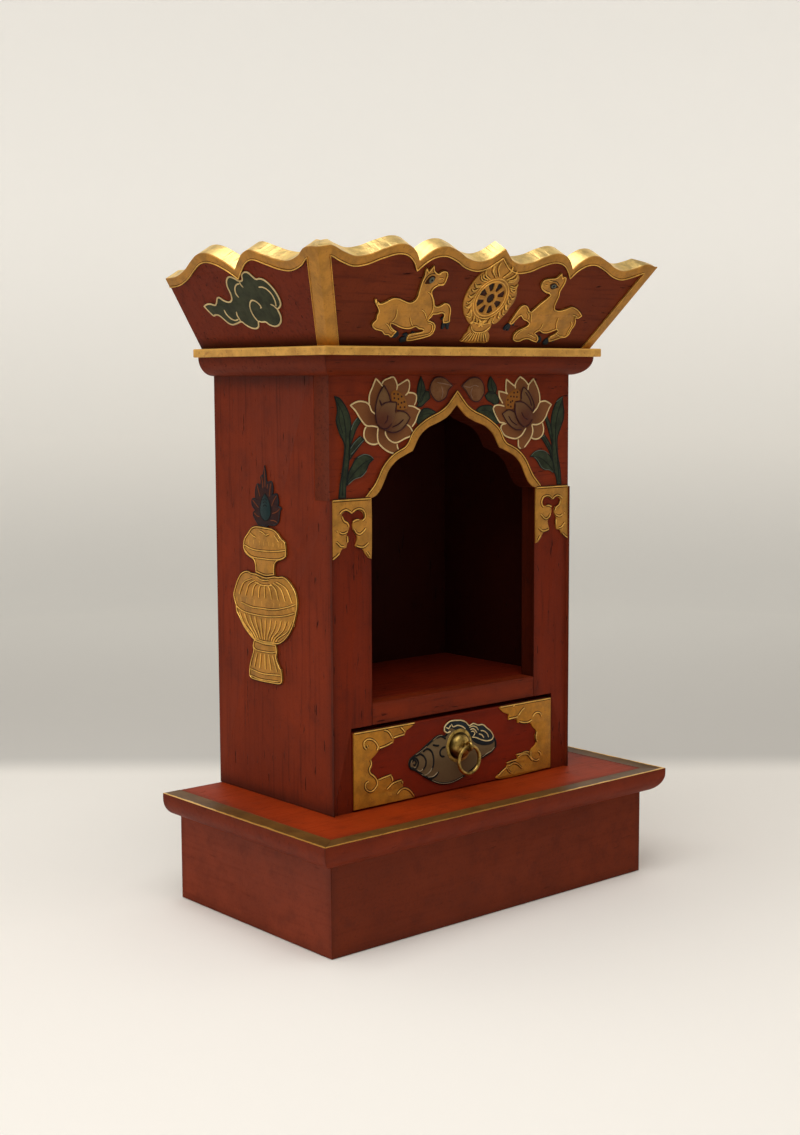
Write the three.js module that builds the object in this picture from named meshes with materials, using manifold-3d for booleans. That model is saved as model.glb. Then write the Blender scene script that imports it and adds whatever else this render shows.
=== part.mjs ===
// Household altar cabinet: a red lacquered wooden shrine with gilded low relief.
// A moulded plinth carries a cabinet with an arched niche over a drawer, and
// three flared boards with a waved top edge make its crown.
// Millimetres, +Z up, front towards -Y, origin under the middle of the plinth.
import * as THREE from "three";
import { mergeVertices } from "three/addons/utils/BufferGeometryUtils.js";
import Module from "manifold-3d";

const wasm = await Module();
wasm.setup();

// Plinth
const PLINTH_HALF = 148.1;
const PLINTH_FRONT = -82;
const PLINTH_BACK = 92;
const PLINTH_WALL = 12;
const PLINTH_TOP = 79;
const PLINTH_TOP_THICK = 10;
const PLINTH_MOULD_SIDE = 14.5;
const PLINTH_MOULD_FRONT = 12.5;
const PLINTH_MOULD_BOTTOM = 61.4;
const PLINTH_FILLET = 3.6;

// Cabinet
const HALF = 112;
const FRONT = -39.1;
const BACK = 93;
const SIDE_THICK = 10.5;
const BACK_THICK = 8;
const STILE_THICK = 13;
const ARCH_THICK = 16;
const NICHE_HALF = 77.4;
const NICHE_FLOOR_TOP = 151.7;
const NICHE_FLOOR_THICK = 8;
const DRAWER_HALF = 95.9;
const DRAWER_TOP = 136.6;
const ARCH_BOTTOM = 290.9;
const CABINET_TOP = 386.1;
const INSIDE_HALF = HALF - SIDE_THICK;

// Cornice and abacus
const CORNICE_BOTTOM = 373.1;
const CORNICE_OUT = 13.4;
const ABACUS_HALF = 128.8;
const ABACUS_FRONT = -56.4;
const ABACUS_BACK = 94.5;
const CROWN_BOTTOM = 392;

// Crown
const FLARE = THREE.MathUtils.degToRad(30.4);
const CROWN_HALF = 121.2;
const CROWN_FRONT = -49.8;
const CROWN_THICK = 12;
const WAVE_BAND = 5.9;
const CORNER_BAND = 10;

// Drawer
const DRAWER_PLAY = 0.6;
const DRAWER_BOTTOM = PLINTH_TOP + 0.4;
const DRAWER_FRONT_TOP = 133.7;
const DRAWER_BOX_TOP = 128;
const DRAWER_FRONT_THICK = 12;
const DRAWER_WALL = 7;
const DRAWER_BACK = 80;

// Ring pull
const PULL_X = 1.8;
const BOSS_Z = 111;
const BOSS_RADIUS = 12.2;
const BOSS_HEIGHT = 7.6;
const EYE_RADIUS = 2.7;
const EYE_WIRE = 1.05;
const EYE_OUT = 11.3;
const EYE_Z = BOSS_Z + 1.2;
const RING_RADIUS = 9.85;
const RING_WIRE = 1.35;

// Fits
const GAP = 0.15;
const GILT_HEIGHT = 0.6;
const PAINT_HEIGHT = 0.4;
const BED = 0.5;

const red = { color: 0x70281c, roughness: 0.62, metalness: 0 };
const plain = { color: 0x5a2a1a, roughness: 0.8, metalness: 0 };
const gold = { color: 0xb98a48, roughness: 0.42, metalness: 0.5 };
const brass = { color: 0xb08a4a, roughness: 0.38, metalness: 1 };

const altar = new THREE.Group();
altar.name = "household_altar_cabinet";

// ---------------------------------------------------------------- solids

function solid(geometry) {
  const bare = geometry.clone();
  bare.deleteAttribute("normal");
  bare.deleteAttribute("uv");
  const welded = mergeVertices(bare, 1e-4);
  return new wasm.Manifold(new wasm.Mesh({
    numProp: 3,
    vertProperties: new Float32Array(welded.attributes.position.array),
    triVerts: new Uint32Array(welded.index.array),
  }));
}

function geometryOf(manifold) {
  const mesh = manifold.getMesh();
  const geometry = new THREE.BufferGeometry();
  geometry.setAttribute("position", new THREE.BufferAttribute(mesh.vertProperties, 3));
  geometry.setIndex(new THREE.BufferAttribute(mesh.triVerts, 1));
  geometry.computeVertexNormals();
  return geometry;
}

function add(name, shape, look) {
  const geometry = shape.isBufferGeometry ? shape : geometryOf(shape);
  const mesh = new THREE.Mesh(geometry, new THREE.MeshStandardMaterial(look));
  mesh.name = name;
  altar.add(mesh);
  return mesh;
}

function union(shapes) {
  return shapes.reduce((whole, shape) => whole.add(shape));
}

function block(x0, x1, y0, y1, z0, z1) {
  const geometry = new THREE.BoxGeometry(x1 - x0, y1 - y0, z1 - z0);
  geometry.translate((x0 + x1) / 2, (y0 + y1) / 2, (z0 + z1) / 2);
  return geometry;
}

// ---------------------------------------------------------------- outlines

// A smooth run passes through its points; the outline turns sharply between runs.
function run(points, steps = 2) {
  if (points.length === 2) {
    return points;
  }
  const knots = points.map(([a, b]) => new THREE.Vector3(a, b, 0));
  const curve = new THREE.CatmullRomCurve3(knots, false, "centripetal");
  return curve.getPoints(steps * (points.length - 1)).map((p) => [p.x, p.y]);
}

function outline(...runs) {
  return runs.flatMap((points) => run(points).slice(0, -1));
}

function closedCurve(points, steps = 2) {
  const knots = points.map(([a, b]) => new THREE.Vector3(a, b, 0));
  const curve = new THREE.CatmullRomCurve3(knots, true, "centripetal");
  return curve.getPoints(steps * points.length).slice(0, -1).map((p) => [p.x, p.y]);
}

function circle(a, b, radius, sides = 16, flatten = 1) {
  return Array.from({ length: sides }, (_, i) => {
    const angle = (2 * Math.PI * i) / sides;
    return [a + radius * Math.cos(angle), b + radius * flatten * Math.sin(angle)];
  });
}

// The convex outline round a set of points, turned anticlockwise.
function hull(points) {
  const sorted = [...points].sort((p, q) => p[0] - q[0] || p[1] - q[1]);
  const turnsRight = (p, q, r) => (q[0] - p[0]) * (r[1] - p[1]) - (q[1] - p[1]) * (r[0] - p[0]) <= 1e-6;
  const chain = (ordered) => ordered.reduce((kept, point) => {
    while (kept.length > 1 && turnsRight(kept[kept.length - 2], kept[kept.length - 1], point)) {
      kept.pop();
    }
    return [...kept, point];
  }, []).slice(0, -1);
  return [...chain(sorted), ...chain([...sorted].reverse())];
}

// A limb is a chain of rounded links, each knot a place on its spine and a radius.
function limb(spine) {
  const links = spine.slice(1).map((knot, i) => [spine[i], knot]);
  return links.map((ends) => hull(ends.flatMap(([a, b, radius]) => circle(a, b, radius, 8))));
}

// A petal runs from its foot to a pointed tip, widest beyond the middle.
function petal(a0, b0, a1, b1, width) {
  const along = [a1 - a0, b1 - b0];
  const length = Math.hypot(...along);
  const across = [-along[1] / length, along[0] / length];
  const half = [[0, 0.3], [0.3, 0.42], [0.6, 0.5], [0.85, 0.3]];
  const place = ([t, w]) => [a0 + along[0] * t + across[0] * w * width, b0 + along[1] * t + across[1] * w * width];
  const left = half.map(place);
  const right = half.map(([t, w]) => place([t, -w])).reverse();
  return [...left, [a1, b1], ...right];
}

function mirrored(points) {
  return points.map(([a, b, ...rest]) => [-a, b, ...rest]);
}

// ---------------------------------------------------------------- panels

// A panel is a painted face with its own axes: u to the right, v up, w out of the face.
function panel(origin, u, v) {
  const right = new THREE.Vector3(...u);
  const up = new THREE.Vector3(...v);
  const out = new THREE.Vector3().crossVectors(right, up);
  return new THREE.Matrix4().makeBasis(right, up, out).setPosition(...origin);
}

const LEAN = Math.sin(FLARE);
const RISE = Math.cos(FLARE);
const frontPanel = panel([0, FRONT, 0], [1, 0, 0], [0, 0, 1]);
const leftPanel = panel([-HALF, 0, 0], [0, -1, 0], [0, 0, 1]);
const rightPanel = panel([HALF, 0, 0], [0, 1, 0], [0, 0, 1]);
const crownFrontPanel = panel([0, CROWN_FRONT, CROWN_BOTTOM], [1, 0, 0], [0, -LEAN, RISE]);
const crownLeftPanel = panel([-CROWN_HALF, 0, CROWN_BOTTOM], [0, -1, 0], [-LEAN, 0, RISE]);
const crownRightPanel = panel([CROWN_HALF, 0, CROWN_BOTTOM], [0, 1, 0], [LEAN, 0, RISE]);

// A slab is an outline in panel axes, from w0 to w1 out of the face.
function slab(points, w0, w1) {
  const shape = new THREE.Shape(points.map(([a, b]) => new THREE.Vector2(a, b)));
  const geometry = new THREE.ExtrudeGeometry(shape, { depth: w1 - w0, bevelEnabled: false });
  geometry.translate(0, 0, w0);
  return solid(geometry);
}

function placed(shape, place) {
  return solid(geometryOf(shape).applyMatrix4(place));
}

// A column with this plan, for cuts in vertical planes.
function planColumn(points, z0, z1) {
  return slab(points, z0, z1);
}

function raised(outlines, height = GILT_HEIGHT) {
  return union(outlines.map((points) => slab(points, -BED, height)));
}

// ---------------------------------------------------------------- motifs

function deer({ trunk, head, legs, ears, tail }) {
  return [trunk, head, tail, ...legs, ...ears].flatMap((spine) => limb(spine));
}

const leftDeer = deer({
  trunk: [[-83, 25.5, 8.8], [-75, 25.3, 9.2], [-66, 24, 8.8], [-56.5, 26.5, 9.5], [-56.2, 36, 6.8], [-57.6, 45, 5.3]],
  head: [[-58.2, 50.8, 4.6], [-52, 50.3, 4.2], [-47.5, 52.3, 3.4]],
  tail: [[-88, 30, 2], [-95.5, 33, 0.8]],
  legs: [
    [[-86, 19, 5], [-82, 14.2, 2.8], [-75, 12, 1.9], [-69, 9.2, 1.8]],
    [[-50, 26.5, 4.6], [-43, 28.2, 2.6], [-36, 30, 2.5], [-31, 26.5, 2.2], [-28.5, 19, 1.6], [-27.8, 16.5, 1.4]],
    [[-50, 20, 4.8], [-42, 16.5, 2.4], [-40, 12.5, 2], [-44, 10, 1.6], [-54, 7.8, 1.6], [-61, 6.6, 1.8]],
  ],
  ears: [[[-60, 53, 1.8], [-62.8, 57, 0.6]], [[-58, 54, 1.6], [-58.4, 59, 0.6]]],
});

const rightDeer = deer({
  trunk: [[84, 25, 8.6], [75, 22.8, 8.1], [66, 22.5, 8.5], [58.7, 25, 8.8], [60.5, 34, 6.2], [62.4, 43, 4.6]],
  head: [[61.5, 50, 4.6], [55.5, 49.8, 4.2], [49.2, 50.6, 3.2]],
  tail: [[89, 29.8, 2], [97.5, 27.3, 0.8]],
  legs: [
    [[88, 17, 5.4], [82, 10.6, 2.6], [77.5, 8.2, 1.8], [73.5, 5.6, 1.7]],
    [[51, 25, 4.8], [45, 26.2, 2.8], [39, 30.3, 2.5], [34.5, 27, 2.2], [31.6, 20.5, 1.6], [30.4, 16, 1.5]],
    [[50.5, 18.8, 4], [43.8, 14, 2.2], [41.5, 9.5, 2], [47, 8.2, 1.5], [55, 9.2, 1.3], [64, 7.6, 1.6]],
  ],
  ears: [[[64, 53, 1.8], [66.6, 56, 0.6]], [[60.5, 54, 1.6], [60.8, 58.8, 0.6]]],
});

const WHEEL = [3.2, 38];

function wheelMedallion() {
  const halo = circle(WHEEL[0], WHEEL[1], 22.6, 28, 0.9);
  const flames = petal(3, 44, 0, 70, 34);
  const foot = [[-8.4, 4.6], [16.4, 4.6], [13.4, 12], [12.4, 22], [-3.4, 22], [-5.4, 12]];
  return [halo, flames, foot];
}

function wheelGaps() {
  const gap = (turn) => {
    const spread = 0.3;
    const at = (radius, angle) => [WHEEL[0] + radius * Math.cos(angle), WHEEL[1] + radius * Math.sin(angle)];
    return [at(6.5, turn - spread * 0.7), at(11.5, turn - spread), at(12.2, turn), at(11.5, turn + spread),
      at(6.5, turn + spread * 0.7)];
  };
  return Array.from({ length: 8 }, (_, i) => gap(((i + 0.5) * Math.PI) / 4));
}

// Cloud lobes on the side of the crown: distance behind the front edge, height, radius.
const cloud = [[60, 30, 4.8], [50, 27, 7], [42, 29, 8.5], [30, 34, 9.5], [22, 43, 9.8], [10, 40, 11], [2, 45, 9.8],
  [-8, 42, 9.2], [-13, 36, 8.2], [-5, 26, 10.6], [10, 28, 8.6], [22, 25, 10.6], [36, 27, 7]]
  .flatMap(([y, s, radius]) => [circle(-(y - 1.7), s, radius, 16)]);

function vase(middle) {
  const half = [[0, 161.2], [18, 162], [19, 165], [18.3, 172], [15, 175], [11.8, 181.5], [13.4, 183.5], [12.6, 188.6],
    [17, 190.6], [24.5, 195.5], [31, 203], [35.5, 210.5], [37, 220], [34.4, 228], [28, 234.5], [20, 236.6],
    [11, 236.8], [10.3, 241], [12, 245], [20, 248.4], [24, 251.5], [24.2, 256], [21, 261.5], [15, 266.5], [8, 269.3],
    [0, 269.5]];
  return [...half.map(([a, z]) => [middle + a, z]), ...half.slice(1, -1).reverse().map(([a, z]) => [middle - a, z])];
}

function jewel(middle) {
  const flames = [[0, 11, 0, 40, 9], [0, 8, -8, 32, 12], [0, 8, 8, 29, 11], [0, 6, -14, 21, 12], [0, 6, 13, 23, 10],
    [0, 5, -12, 10, 10], [0, 5, 13, 12, 10]];
  const foot = [middle, 272];
  const tongues = flames.map(([a0, b0, a1, b1, width]) => (
    petal(foot[0] + a0, foot[1] + b0 - 5, foot[0] + a1, foot[1] + b1, width)));
  return [circle(foot[0], foot[1] + 10, 10.5, 20), ...tongues];
}

// Lotus flower with its stem, leaves and buds beside the arch, for the left half.
const lotus = [
  circle(-63, 346, 13, 14),
  petal(-72, 344, -95, 353.5, 11),
  petal(-70, 346, -73.4, 370, 11),
  petal(-62, 350, -57.5, 371.5, 14),
  petal(-55, 350, -44.6, 369.5, 9),
  petal(-52, 352, -38, 359.6, 8),
  petal(-54, 344, -34.6, 348.8, 12),
  petal(-58, 340, -42, 332, 12),
  petal(-63, 338, -60, 321, 14),
  petal(-68, 340, -82, 328.4, 12),
  petal(-101, 331, -107.6, 358.6, 8),
  petal(-99, 301, -76, 317, 9),
  petal(-35, 353, -33, 370, 6),
  petal(-36, 347, -19, 347.6, 7),
  circle(-15.5, 363, 8.4, 12),
  petal(-12, 363.5, -4.6, 366, 6),
  ...limb([[-101.4, 293.5, 2], [-101.8, 312, 2.2], [-100.4, 330, 2]]),
  ...limb([[-98, 324.6, 0.9], [-85, 332.4, 0.9]]),
  ...limb([[-98, 334.6, 0.9], [-80, 346, 0.9]]),
];

// Gilded bracket at the head of the left stile, with its lobed notch.
const bracket = [...outline(
  [[-111.6, 290.6], [-111.6, 252.6]],
  [[-111.6, 252.6], [-106, 256.6], [-102, 259.6], [-99.7, 262.4]],
  [[-99.7, 262.4], [-99.2, 266.5], [-98.2, 271.4]],
  [[-98.2, 271.4], [-99.8, 276.2], [-103.4, 278], [-104, 281.4], [-101.6, 283.8], [-97, 283.4], [-94.5, 282.4],
    [-92, 283.6], [-88.8, 284.4], [-85.4, 283], [-83.6, 280.4], [-84.4, 277.2], [-90, 276.4], [-92.4, 273.2]],
  [[-92.4, 273.2], [-90.4, 268.4], [-90.2, 264], [-91.2, 260.2]],
  [[-91.2, 260.2], [-87, 259], [-84.4, 256.6], [-80.6, 252.4], [-78.2, 251.2]],
  [[-78.2, 251.2], [-78.2, 290.6]],
  [[-78.2, 290.6], [-111.6, 290.6]],
)];

// Scrolled corner piece at the left end of the drawer front.
const drawerCorner = outline(
  [[-94.6, 133], [-42, 133]],
  [[-42, 133], [-47.6, 130], [-49.2, 127.2]],
  [[-49.2, 127.2], [-54.6, 126.4], [-59, 125.2], [-60.2, 122.6]],
  [[-60.2, 122.6], [-66, 120.8], [-72.4, 120.2], [-76.6, 116.8], [-80, 113.4], [-79, 109], [-80.6, 105.4]],
  [[-80.6, 105.4], [-77.6, 100.8], [-73.4, 98], [-68, 98.4], [-62.4, 99.4]],
  [[-62.4, 99.4], [-60.6, 93.4], [-55.6, 94.4], [-53, 94]],
  [[-53, 94], [-51.4, 89], [-47.4, 87.2], [-43.4, 83.6], [-42, 80.8]],
  [[-42, 80.8], [-94.6, 80.8]],
  [[-94.6, 80.8], [-94.6, 133]],
);

const conch = closedCurve([[-44, 102], [-43.6, 106.6], [-36, 110.8], [-30, 114.4], [-24, 117.4], [-15, 120.4],
  [-12, 124], [-6, 129.2], [4, 129], [11, 124], [19, 122.8], [25, 122], [33, 116], [37.6, 109], [35.6, 102.6],
  [23, 98.2], [14.6, 91.8], [8, 88.8], [-8, 85.2], [-21.6, 89.2], [-34.6, 96.8]]);

// ---------------------------------------------------------------- plinth

// Ovolo under a square fillet: outward share of the projection, and height.
function plinthProfile() {
  const turn = PLINTH_TOP - PLINTH_FILLET - PLINTH_MOULD_BOTTOM;
  const arc = Array.from({ length: 8 }, (_, i) => {
    const angle = (Math.PI / 2) * (i / 7);
    return [0.93 * Math.sin(angle), PLINTH_MOULD_BOTTOM + turn * (1 - Math.cos(angle))];
  });
  return [...arc, [1, PLINTH_TOP - PLINTH_FILLET], [1, PLINTH_TOP], [0, PLINTH_TOP]];
}

function corniceProfile() {
  return [...Array.from({ length: 9 }, (_, i) => {
    const angle = (Math.PI / 2) * (i / 8);
    return [Math.sin(angle), CABINET_TOP - (CABINET_TOP - CORNICE_BOTTOM) * Math.cos(angle)];
  }), [0, CABINET_TOP]];
}

// A strip whose ends are mitred: each corner of the profile is placed by its outward share.
function strip(profile, place) {
  const shape = new THREE.Shape(profile.map(([out, z]) => new THREE.Vector2(out, z)));
  const geometry = new THREE.ExtrudeGeometry(shape, { depth: 1, bevelEnabled: false });
  const position = geometry.attributes.position;
  for (let i = 0; i < position.count; i += 1) {
    position.setXYZ(i, ...place(position.getX(i), position.getY(i), 1 - position.getZ(i)));
  }
  return solid(geometry);
}

function mitredStrips(prefix, profile, half, front, back, outSide, outFront, look) {
  add(`${prefix}_front`, strip(profile, (out, z, t) => (
    [(2 * t - 1) * (half + outSide * out), front - outFront * out, z])), look);
  const start = (out) => front - outFront * out + GAP * 2;
  add(`${prefix}_left`, strip(profile, (out, z, t) => (
    [-half - outSide * out, back + (start(out) - back) * t, z])), look);
  add(`${prefix}_right`, strip(profile, (out, z, t) => (
    [half + outSide * out, start(out) + (back - start(out)) * t, z])), look);
}

function plinth() {
  const under = PLINTH_TOP - PLINTH_TOP_THICK;
  const inner = PLINTH_HALF - PLINTH_WALL;
  add("plinth_front", block(-PLINTH_HALF, PLINTH_HALF, PLINTH_FRONT, PLINTH_FRONT + PLINTH_WALL, 0, under), red);
  add("plinth_side_left", block(-PLINTH_HALF, -inner, PLINTH_FRONT + PLINTH_WALL, PLINTH_BACK, 0, under), red);
  add("plinth_side_right", block(inner, PLINTH_HALF, PLINTH_FRONT + PLINTH_WALL, PLINTH_BACK, 0, under), red);
  add("plinth_back", block(-inner, inner, PLINTH_BACK - PLINTH_WALL, PLINTH_BACK, 0, under), plain);
  add("plinth_top", block(-PLINTH_HALF, PLINTH_HALF, PLINTH_FRONT, PLINTH_BACK, under, PLINTH_TOP), red);
  mitredStrips("plinth_moulding", plinthProfile(), PLINTH_HALF, PLINTH_FRONT, PLINTH_BACK, PLINTH_MOULD_SIDE,
    PLINTH_MOULD_FRONT, red);
}

// ---------------------------------------------------------------- cabinet

function sideBoard(sign) {
  const inner = INSIDE_HALF;
  const cheek = [[sign * HALF, FRONT + GAP], [sign * HALF, BACK], [sign * inner, BACK],
    [sign * inner, FRONT + STILE_THICK + GAP]];
  const plan = sign > 0 ? cheek : [...cheek].reverse();
  const board = planColumn(plan, PLINTH_TOP, CABINET_TOP);
  const lap = solid(block(-HALF - 1, HALF + 1, FRONT - 1, FRONT + ARCH_THICK, ARCH_BOTTOM, CABINET_TOP + 1));
  const face = sign > 0 ? rightPanel : leftPanel;
  const middle = sign * 33.3;
  const relief = raised([vase(middle)]).add(raised(jewel(middle), PAINT_HEIGHT));
  return board.subtract(lap).add(placed(relief, face));
}

function stile(sign) {
  const outer = [[sign * (HALF - GAP), FRONT], [sign * (INSIDE_HALF - GAP), FRONT + STILE_THICK]];
  const corner = (inner) => [[sign * inner, FRONT], outer[0], outer[1], [sign * inner, FRONT + STILE_THICK]];
  const turned = (points) => (sign > 0 ? points : [...points].reverse());
  const upper = planColumn(turned(corner(NICHE_HALF)), DRAWER_TOP, ARCH_BOTTOM);
  const lower = planColumn(turned(corner(DRAWER_HALF)), PLINTH_TOP, DRAWER_TOP + 0.001);
  const ornament = sign > 0 ? mirrored(bracket).reverse() : bracket;
  return upper.add(lower).add(placed(raised([ornament]), frontPanel));
}

// Half of the arch's lower edge, from its point down to the stile.
const archHalf = [
  [[0, 352.3], [4, 348.5], [9, 344.2], [17, 340.5], [27, 337], [34.5, 331.5], [41, 321.5]],
  [[41, 321.5], [48, 318.8], [56, 315], [62.5, 309], [67, 301], [71, 295], [77.4, 291.3]],
];
const archBandHalf = [
  [[0, 361.4], [9.6, 351.4], [17, 347], [25, 344], [32, 340.4], [38, 336.4], [41.4, 332.6], [45, 326.6],
    [51.6, 322.2]],
  [[51.6, 322.2], [58, 319.4], [64, 314.8], [68, 310.2], [71, 305], [75, 299], [79, 295], [82, 291.6]],
];

function symmetric(halfRuns) {
  const right = halfRuns.flatMap((points, i) => {
    const smooth = run(points);
    return i < halfRuns.length - 1 ? smooth.slice(0, -1) : smooth;
  });
  const left = mirrored(right.slice(1)).reverse();
  return [...left, ...right];
}

function archBoard() {
  const arch = symmetric(archHalf);
  const foot = [[-NICHE_HALF, ARCH_BOTTOM], [-NICHE_HALF, 280], [NICHE_HALF, 280], [NICHE_HALF, ARCH_BOTTOM]];
  const hole = [...foot, ...[...arch].reverse()];
  const whole = [[-HALF, ARCH_BOTTOM], [HALF, ARCH_BOTTOM], [HALF, CABINET_TOP], [-HALF, CABINET_TOP]];
  const board = slab(whole, -ARCH_THICK, 0);
  const band = [[-82, ARCH_BOTTOM], [82, ARCH_BOTTOM], ...symmetric(archBandHalf).reverse()];
  const flowers = raised([...lotus, ...lotus.map((points) => mirrored(points).reverse())], PAINT_HEIGHT);
  const relief = slab(band, -BED, GILT_HEIGHT).add(flowers);
  return placed(board.add(relief).subtract(slab(hole, -ARCH_THICK - 1, 2)), frontPanel);
}

function cabinet() {
  add("side_left", sideBoard(-1), red);
  add("side_right", sideBoard(1), red);
  add("back_panel", block(-INSIDE_HALF, INSIDE_HALF, BACK - BACK_THICK, BACK, PLINTH_TOP, CABINET_TOP), plain);
  add("stile_left", stile(-1), red);
  add("stile_right", stile(1), red);
  add("rail", block(-NICHE_HALF, NICHE_HALF, FRONT, FRONT + STILE_THICK, DRAWER_TOP, NICHE_FLOOR_TOP), red);
  add("niche_floor", block(-INSIDE_HALF, INSIDE_HALF, FRONT + STILE_THICK + GAP, BACK - BACK_THICK,
    NICHE_FLOOR_TOP - NICHE_FLOOR_THICK, NICHE_FLOOR_TOP), red);
  add("arch_board", archBoard(), red);
  mitredStrips("cornice", corniceProfile(), HALF, FRONT, BACK, CORNICE_OUT, CORNICE_OUT, red);
  add("abacus", block(-ABACUS_HALF, ABACUS_HALF, ABACUS_FRONT, ABACUS_BACK, CABINET_TOP, CROWN_BOTTOM), gold);
}

// ---------------------------------------------------------------- crown

// Half of the front board's waved edge, from the middle peak to the corner.
const frontWaveHalf = [
  [[0, 74.7], [4, 71.5], [10, 67], [18.5, 64.5], [30, 66.3], [40, 70.8], [51, 73.8], [60, 72.2], [66, 68],
    [71, 62.5]],
  [[71, 62.5], [76, 68.5], [83, 72.8], [91, 73.7], [103, 70], [114, 65.3], [124, 63.6], [135, 66.3], [145, 70.8],
    [151, 71.3], [157, 70], [170, 62]],
];

// The side board's waved edge, from its front corner to the back, by distance behind the middle.
const sideWave = [
  [[-100, 60], [-87, 69.5], [-80, 70], [-71, 68.5], [-62, 64], [-49, 61], [-37, 63], [-26.5, 66.8], [-14.5, 70.8],
    [-6, 69], [2, 64], [10, 58.2]],
  [[10, 58.2], [18, 64.5], [28, 70], [36, 72], [44.5, 71.3], [55, 67], [67.5, 61], [82, 56.8], [94.5, 56.3],
    [110, 57]],
];

function sideWavePoints() {
  return [...run(sideWave[0]).slice(0, -1), ...run(sideWave[1])];
}

function lowered(points, drop) {
  return points.map(([a, s]) => [a, s - drop]);
}

function underWave(wave) {
  const first = wave[0];
  const last = wave[wave.length - 1];
  return [[first[0], -20], [last[0], -20], ...[...wave].reverse()];
}

// The field inside the corner bands; edge gives the mitre's place at the foot of the board.
function field(edges) {
  const shift = CORNER_BAND / Math.cos(Math.atan(LEAN));
  const at = ({ side, foot, band }, s) => (band ? side * (foot - shift + s * LEAN) : side * foot);
  return [[at(edges[0], -20), -20], [at(edges[1], -20), -20], [at(edges[1], 90), 90], [at(edges[0], 90), 90]];
}

function crownBoard(wave, place, edges, plan, motifs) {
  const board = slab(underWave(wave), -CROWN_THICK, 0);
  const inside = slab(underWave(lowered(wave, WAVE_BAND)), -5, 5).intersect(slab(field(edges), -5, 5));
  const bands = slab(underWave(wave), -BED, GILT_HEIGHT).subtract(inside);
  const seat = planColumn(plan, CROWN_BOTTOM, CROWN_BOTTOM + 100);
  return placed(board.add(bands).add(motifs), place).intersect(seat);
}

function frontCrown() {
  const edges = [{ side: -1, foot: CROWN_HALF, band: true }, { side: 1, foot: CROWN_HALF, band: true }];
  const reach = 100;
  const plan = [[-CROWN_HALF - reach + GAP, CROWN_FRONT - reach], [CROWN_HALF + reach - GAP, CROWN_FRONT - reach],
    [CROWN_HALF - 70 - GAP, CROWN_FRONT + 70], [-CROWN_HALF + 70 + GAP, CROWN_FRONT + 70]];
  const gilt = raised([...leftDeer, ...rightDeer, ...wheelMedallion()]);
  const motifs = gilt.subtract(union(wheelGaps().map((points) => slab(points, 0, 3))));
  return crownBoard(symmetric(frontWaveHalf), crownFrontPanel, edges, plan, motifs);
}

function sideCrown(sign) {
  const place = sign > 0 ? crownRightPanel : crownLeftPanel;
  const waveBack = sideWavePoints();
  const wave = sign > 0 ? waveBack : mirrored(waveBack).reverse();
  const corner = { side: -sign, foot: -CROWN_FRONT, band: true };
  const back = { side: sign, foot: 200, band: false };
  const edges = sign > 0 ? [corner, back] : [back, corner];
  const reach = 100;
  const behind = ABACUS_BACK - CROWN_FRONT;
  const plan = [[sign * (CROWN_HALF + reach + GAP), CROWN_FRONT - reach], [sign * 300, CROWN_FRONT - reach],
    [sign * 300, ABACUS_BACK], [sign * (CROWN_HALF - behind + GAP), ABACUS_BACK]];
  const clouds = sign > 0 ? cloud.map((points) => mirrored(points).reverse()) : cloud;
  const turned = sign > 0 ? plan : [...plan].reverse();
  return crownBoard(wave, place, edges, turned, raised(clouds, PAINT_HEIGHT));
}

function crown() {
  add("crown_front", frontCrown(), red);
  add("crown_left", sideCrown(-1), red);
  add("crown_right", sideCrown(1), red);
}

// ---------------------------------------------------------------- drawer

function drawerFront() {
  const half = DRAWER_HALF - DRAWER_PLAY;
  const board = solid(block(-half, half, FRONT, FRONT + DRAWER_FRONT_THICK, DRAWER_BOTTOM, DRAWER_FRONT_TOP));
  const corners = raised([drawerCorner, mirrored(drawerCorner).reverse()]);
  return board.add(placed(corners.add(raised([conch], PAINT_HEIGHT)), frontPanel));
}

function drawer() {
  const half = DRAWER_HALF - DRAWER_PLAY;
  const inner = half - DRAWER_WALL;
  const start = FRONT + DRAWER_FRONT_THICK;
  add("drawer_front", drawerFront().subtract(bossSolid()), red);
  add("drawer_side_left", block(-half, -inner, start, DRAWER_BACK, DRAWER_BOTTOM, DRAWER_BOX_TOP), plain);
  add("drawer_side_right", block(inner, half, start, DRAWER_BACK, DRAWER_BOTTOM, DRAWER_BOX_TOP), plain);
  add("drawer_back", block(-inner, inner, DRAWER_BACK - DRAWER_WALL, DRAWER_BACK, DRAWER_BOTTOM, DRAWER_BOX_TOP),
    plain);
  add("drawer_bottom", block(-inner, inner, start, DRAWER_BACK - DRAWER_WALL, DRAWER_BOTTOM + 2, DRAWER_BOTTOM + 6),
    plain);
}

// ---------------------------------------------------------------- ring pull

// Domed boss with a thin flange, turned about the axis out of the drawer front.
function bossSolid() {
  const dome = Array.from({ length: 7 }, (_, i) => {
    const angle = (Math.PI / 2) * (i / 6) * 0.93;
    return new THREE.Vector2((BOSS_RADIUS - 1.2) * Math.cos(angle), 0.9 + (BOSS_HEIGHT - 0.9) * Math.sin(angle));
  });
  const profile = [new THREE.Vector2(0, 0), new THREE.Vector2(BOSS_RADIUS, 0), new THREE.Vector2(BOSS_RADIUS, 0.9),
    ...dome, new THREE.Vector2(0, dome[dome.length - 1].y)];
  const geometry = new THREE.LatheGeometry(profile, 24);
  geometry.rotateX(Math.PI);
  geometry.translate(PULL_X, FRONT, BOSS_Z);
  return solid(geometry);
}

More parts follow.
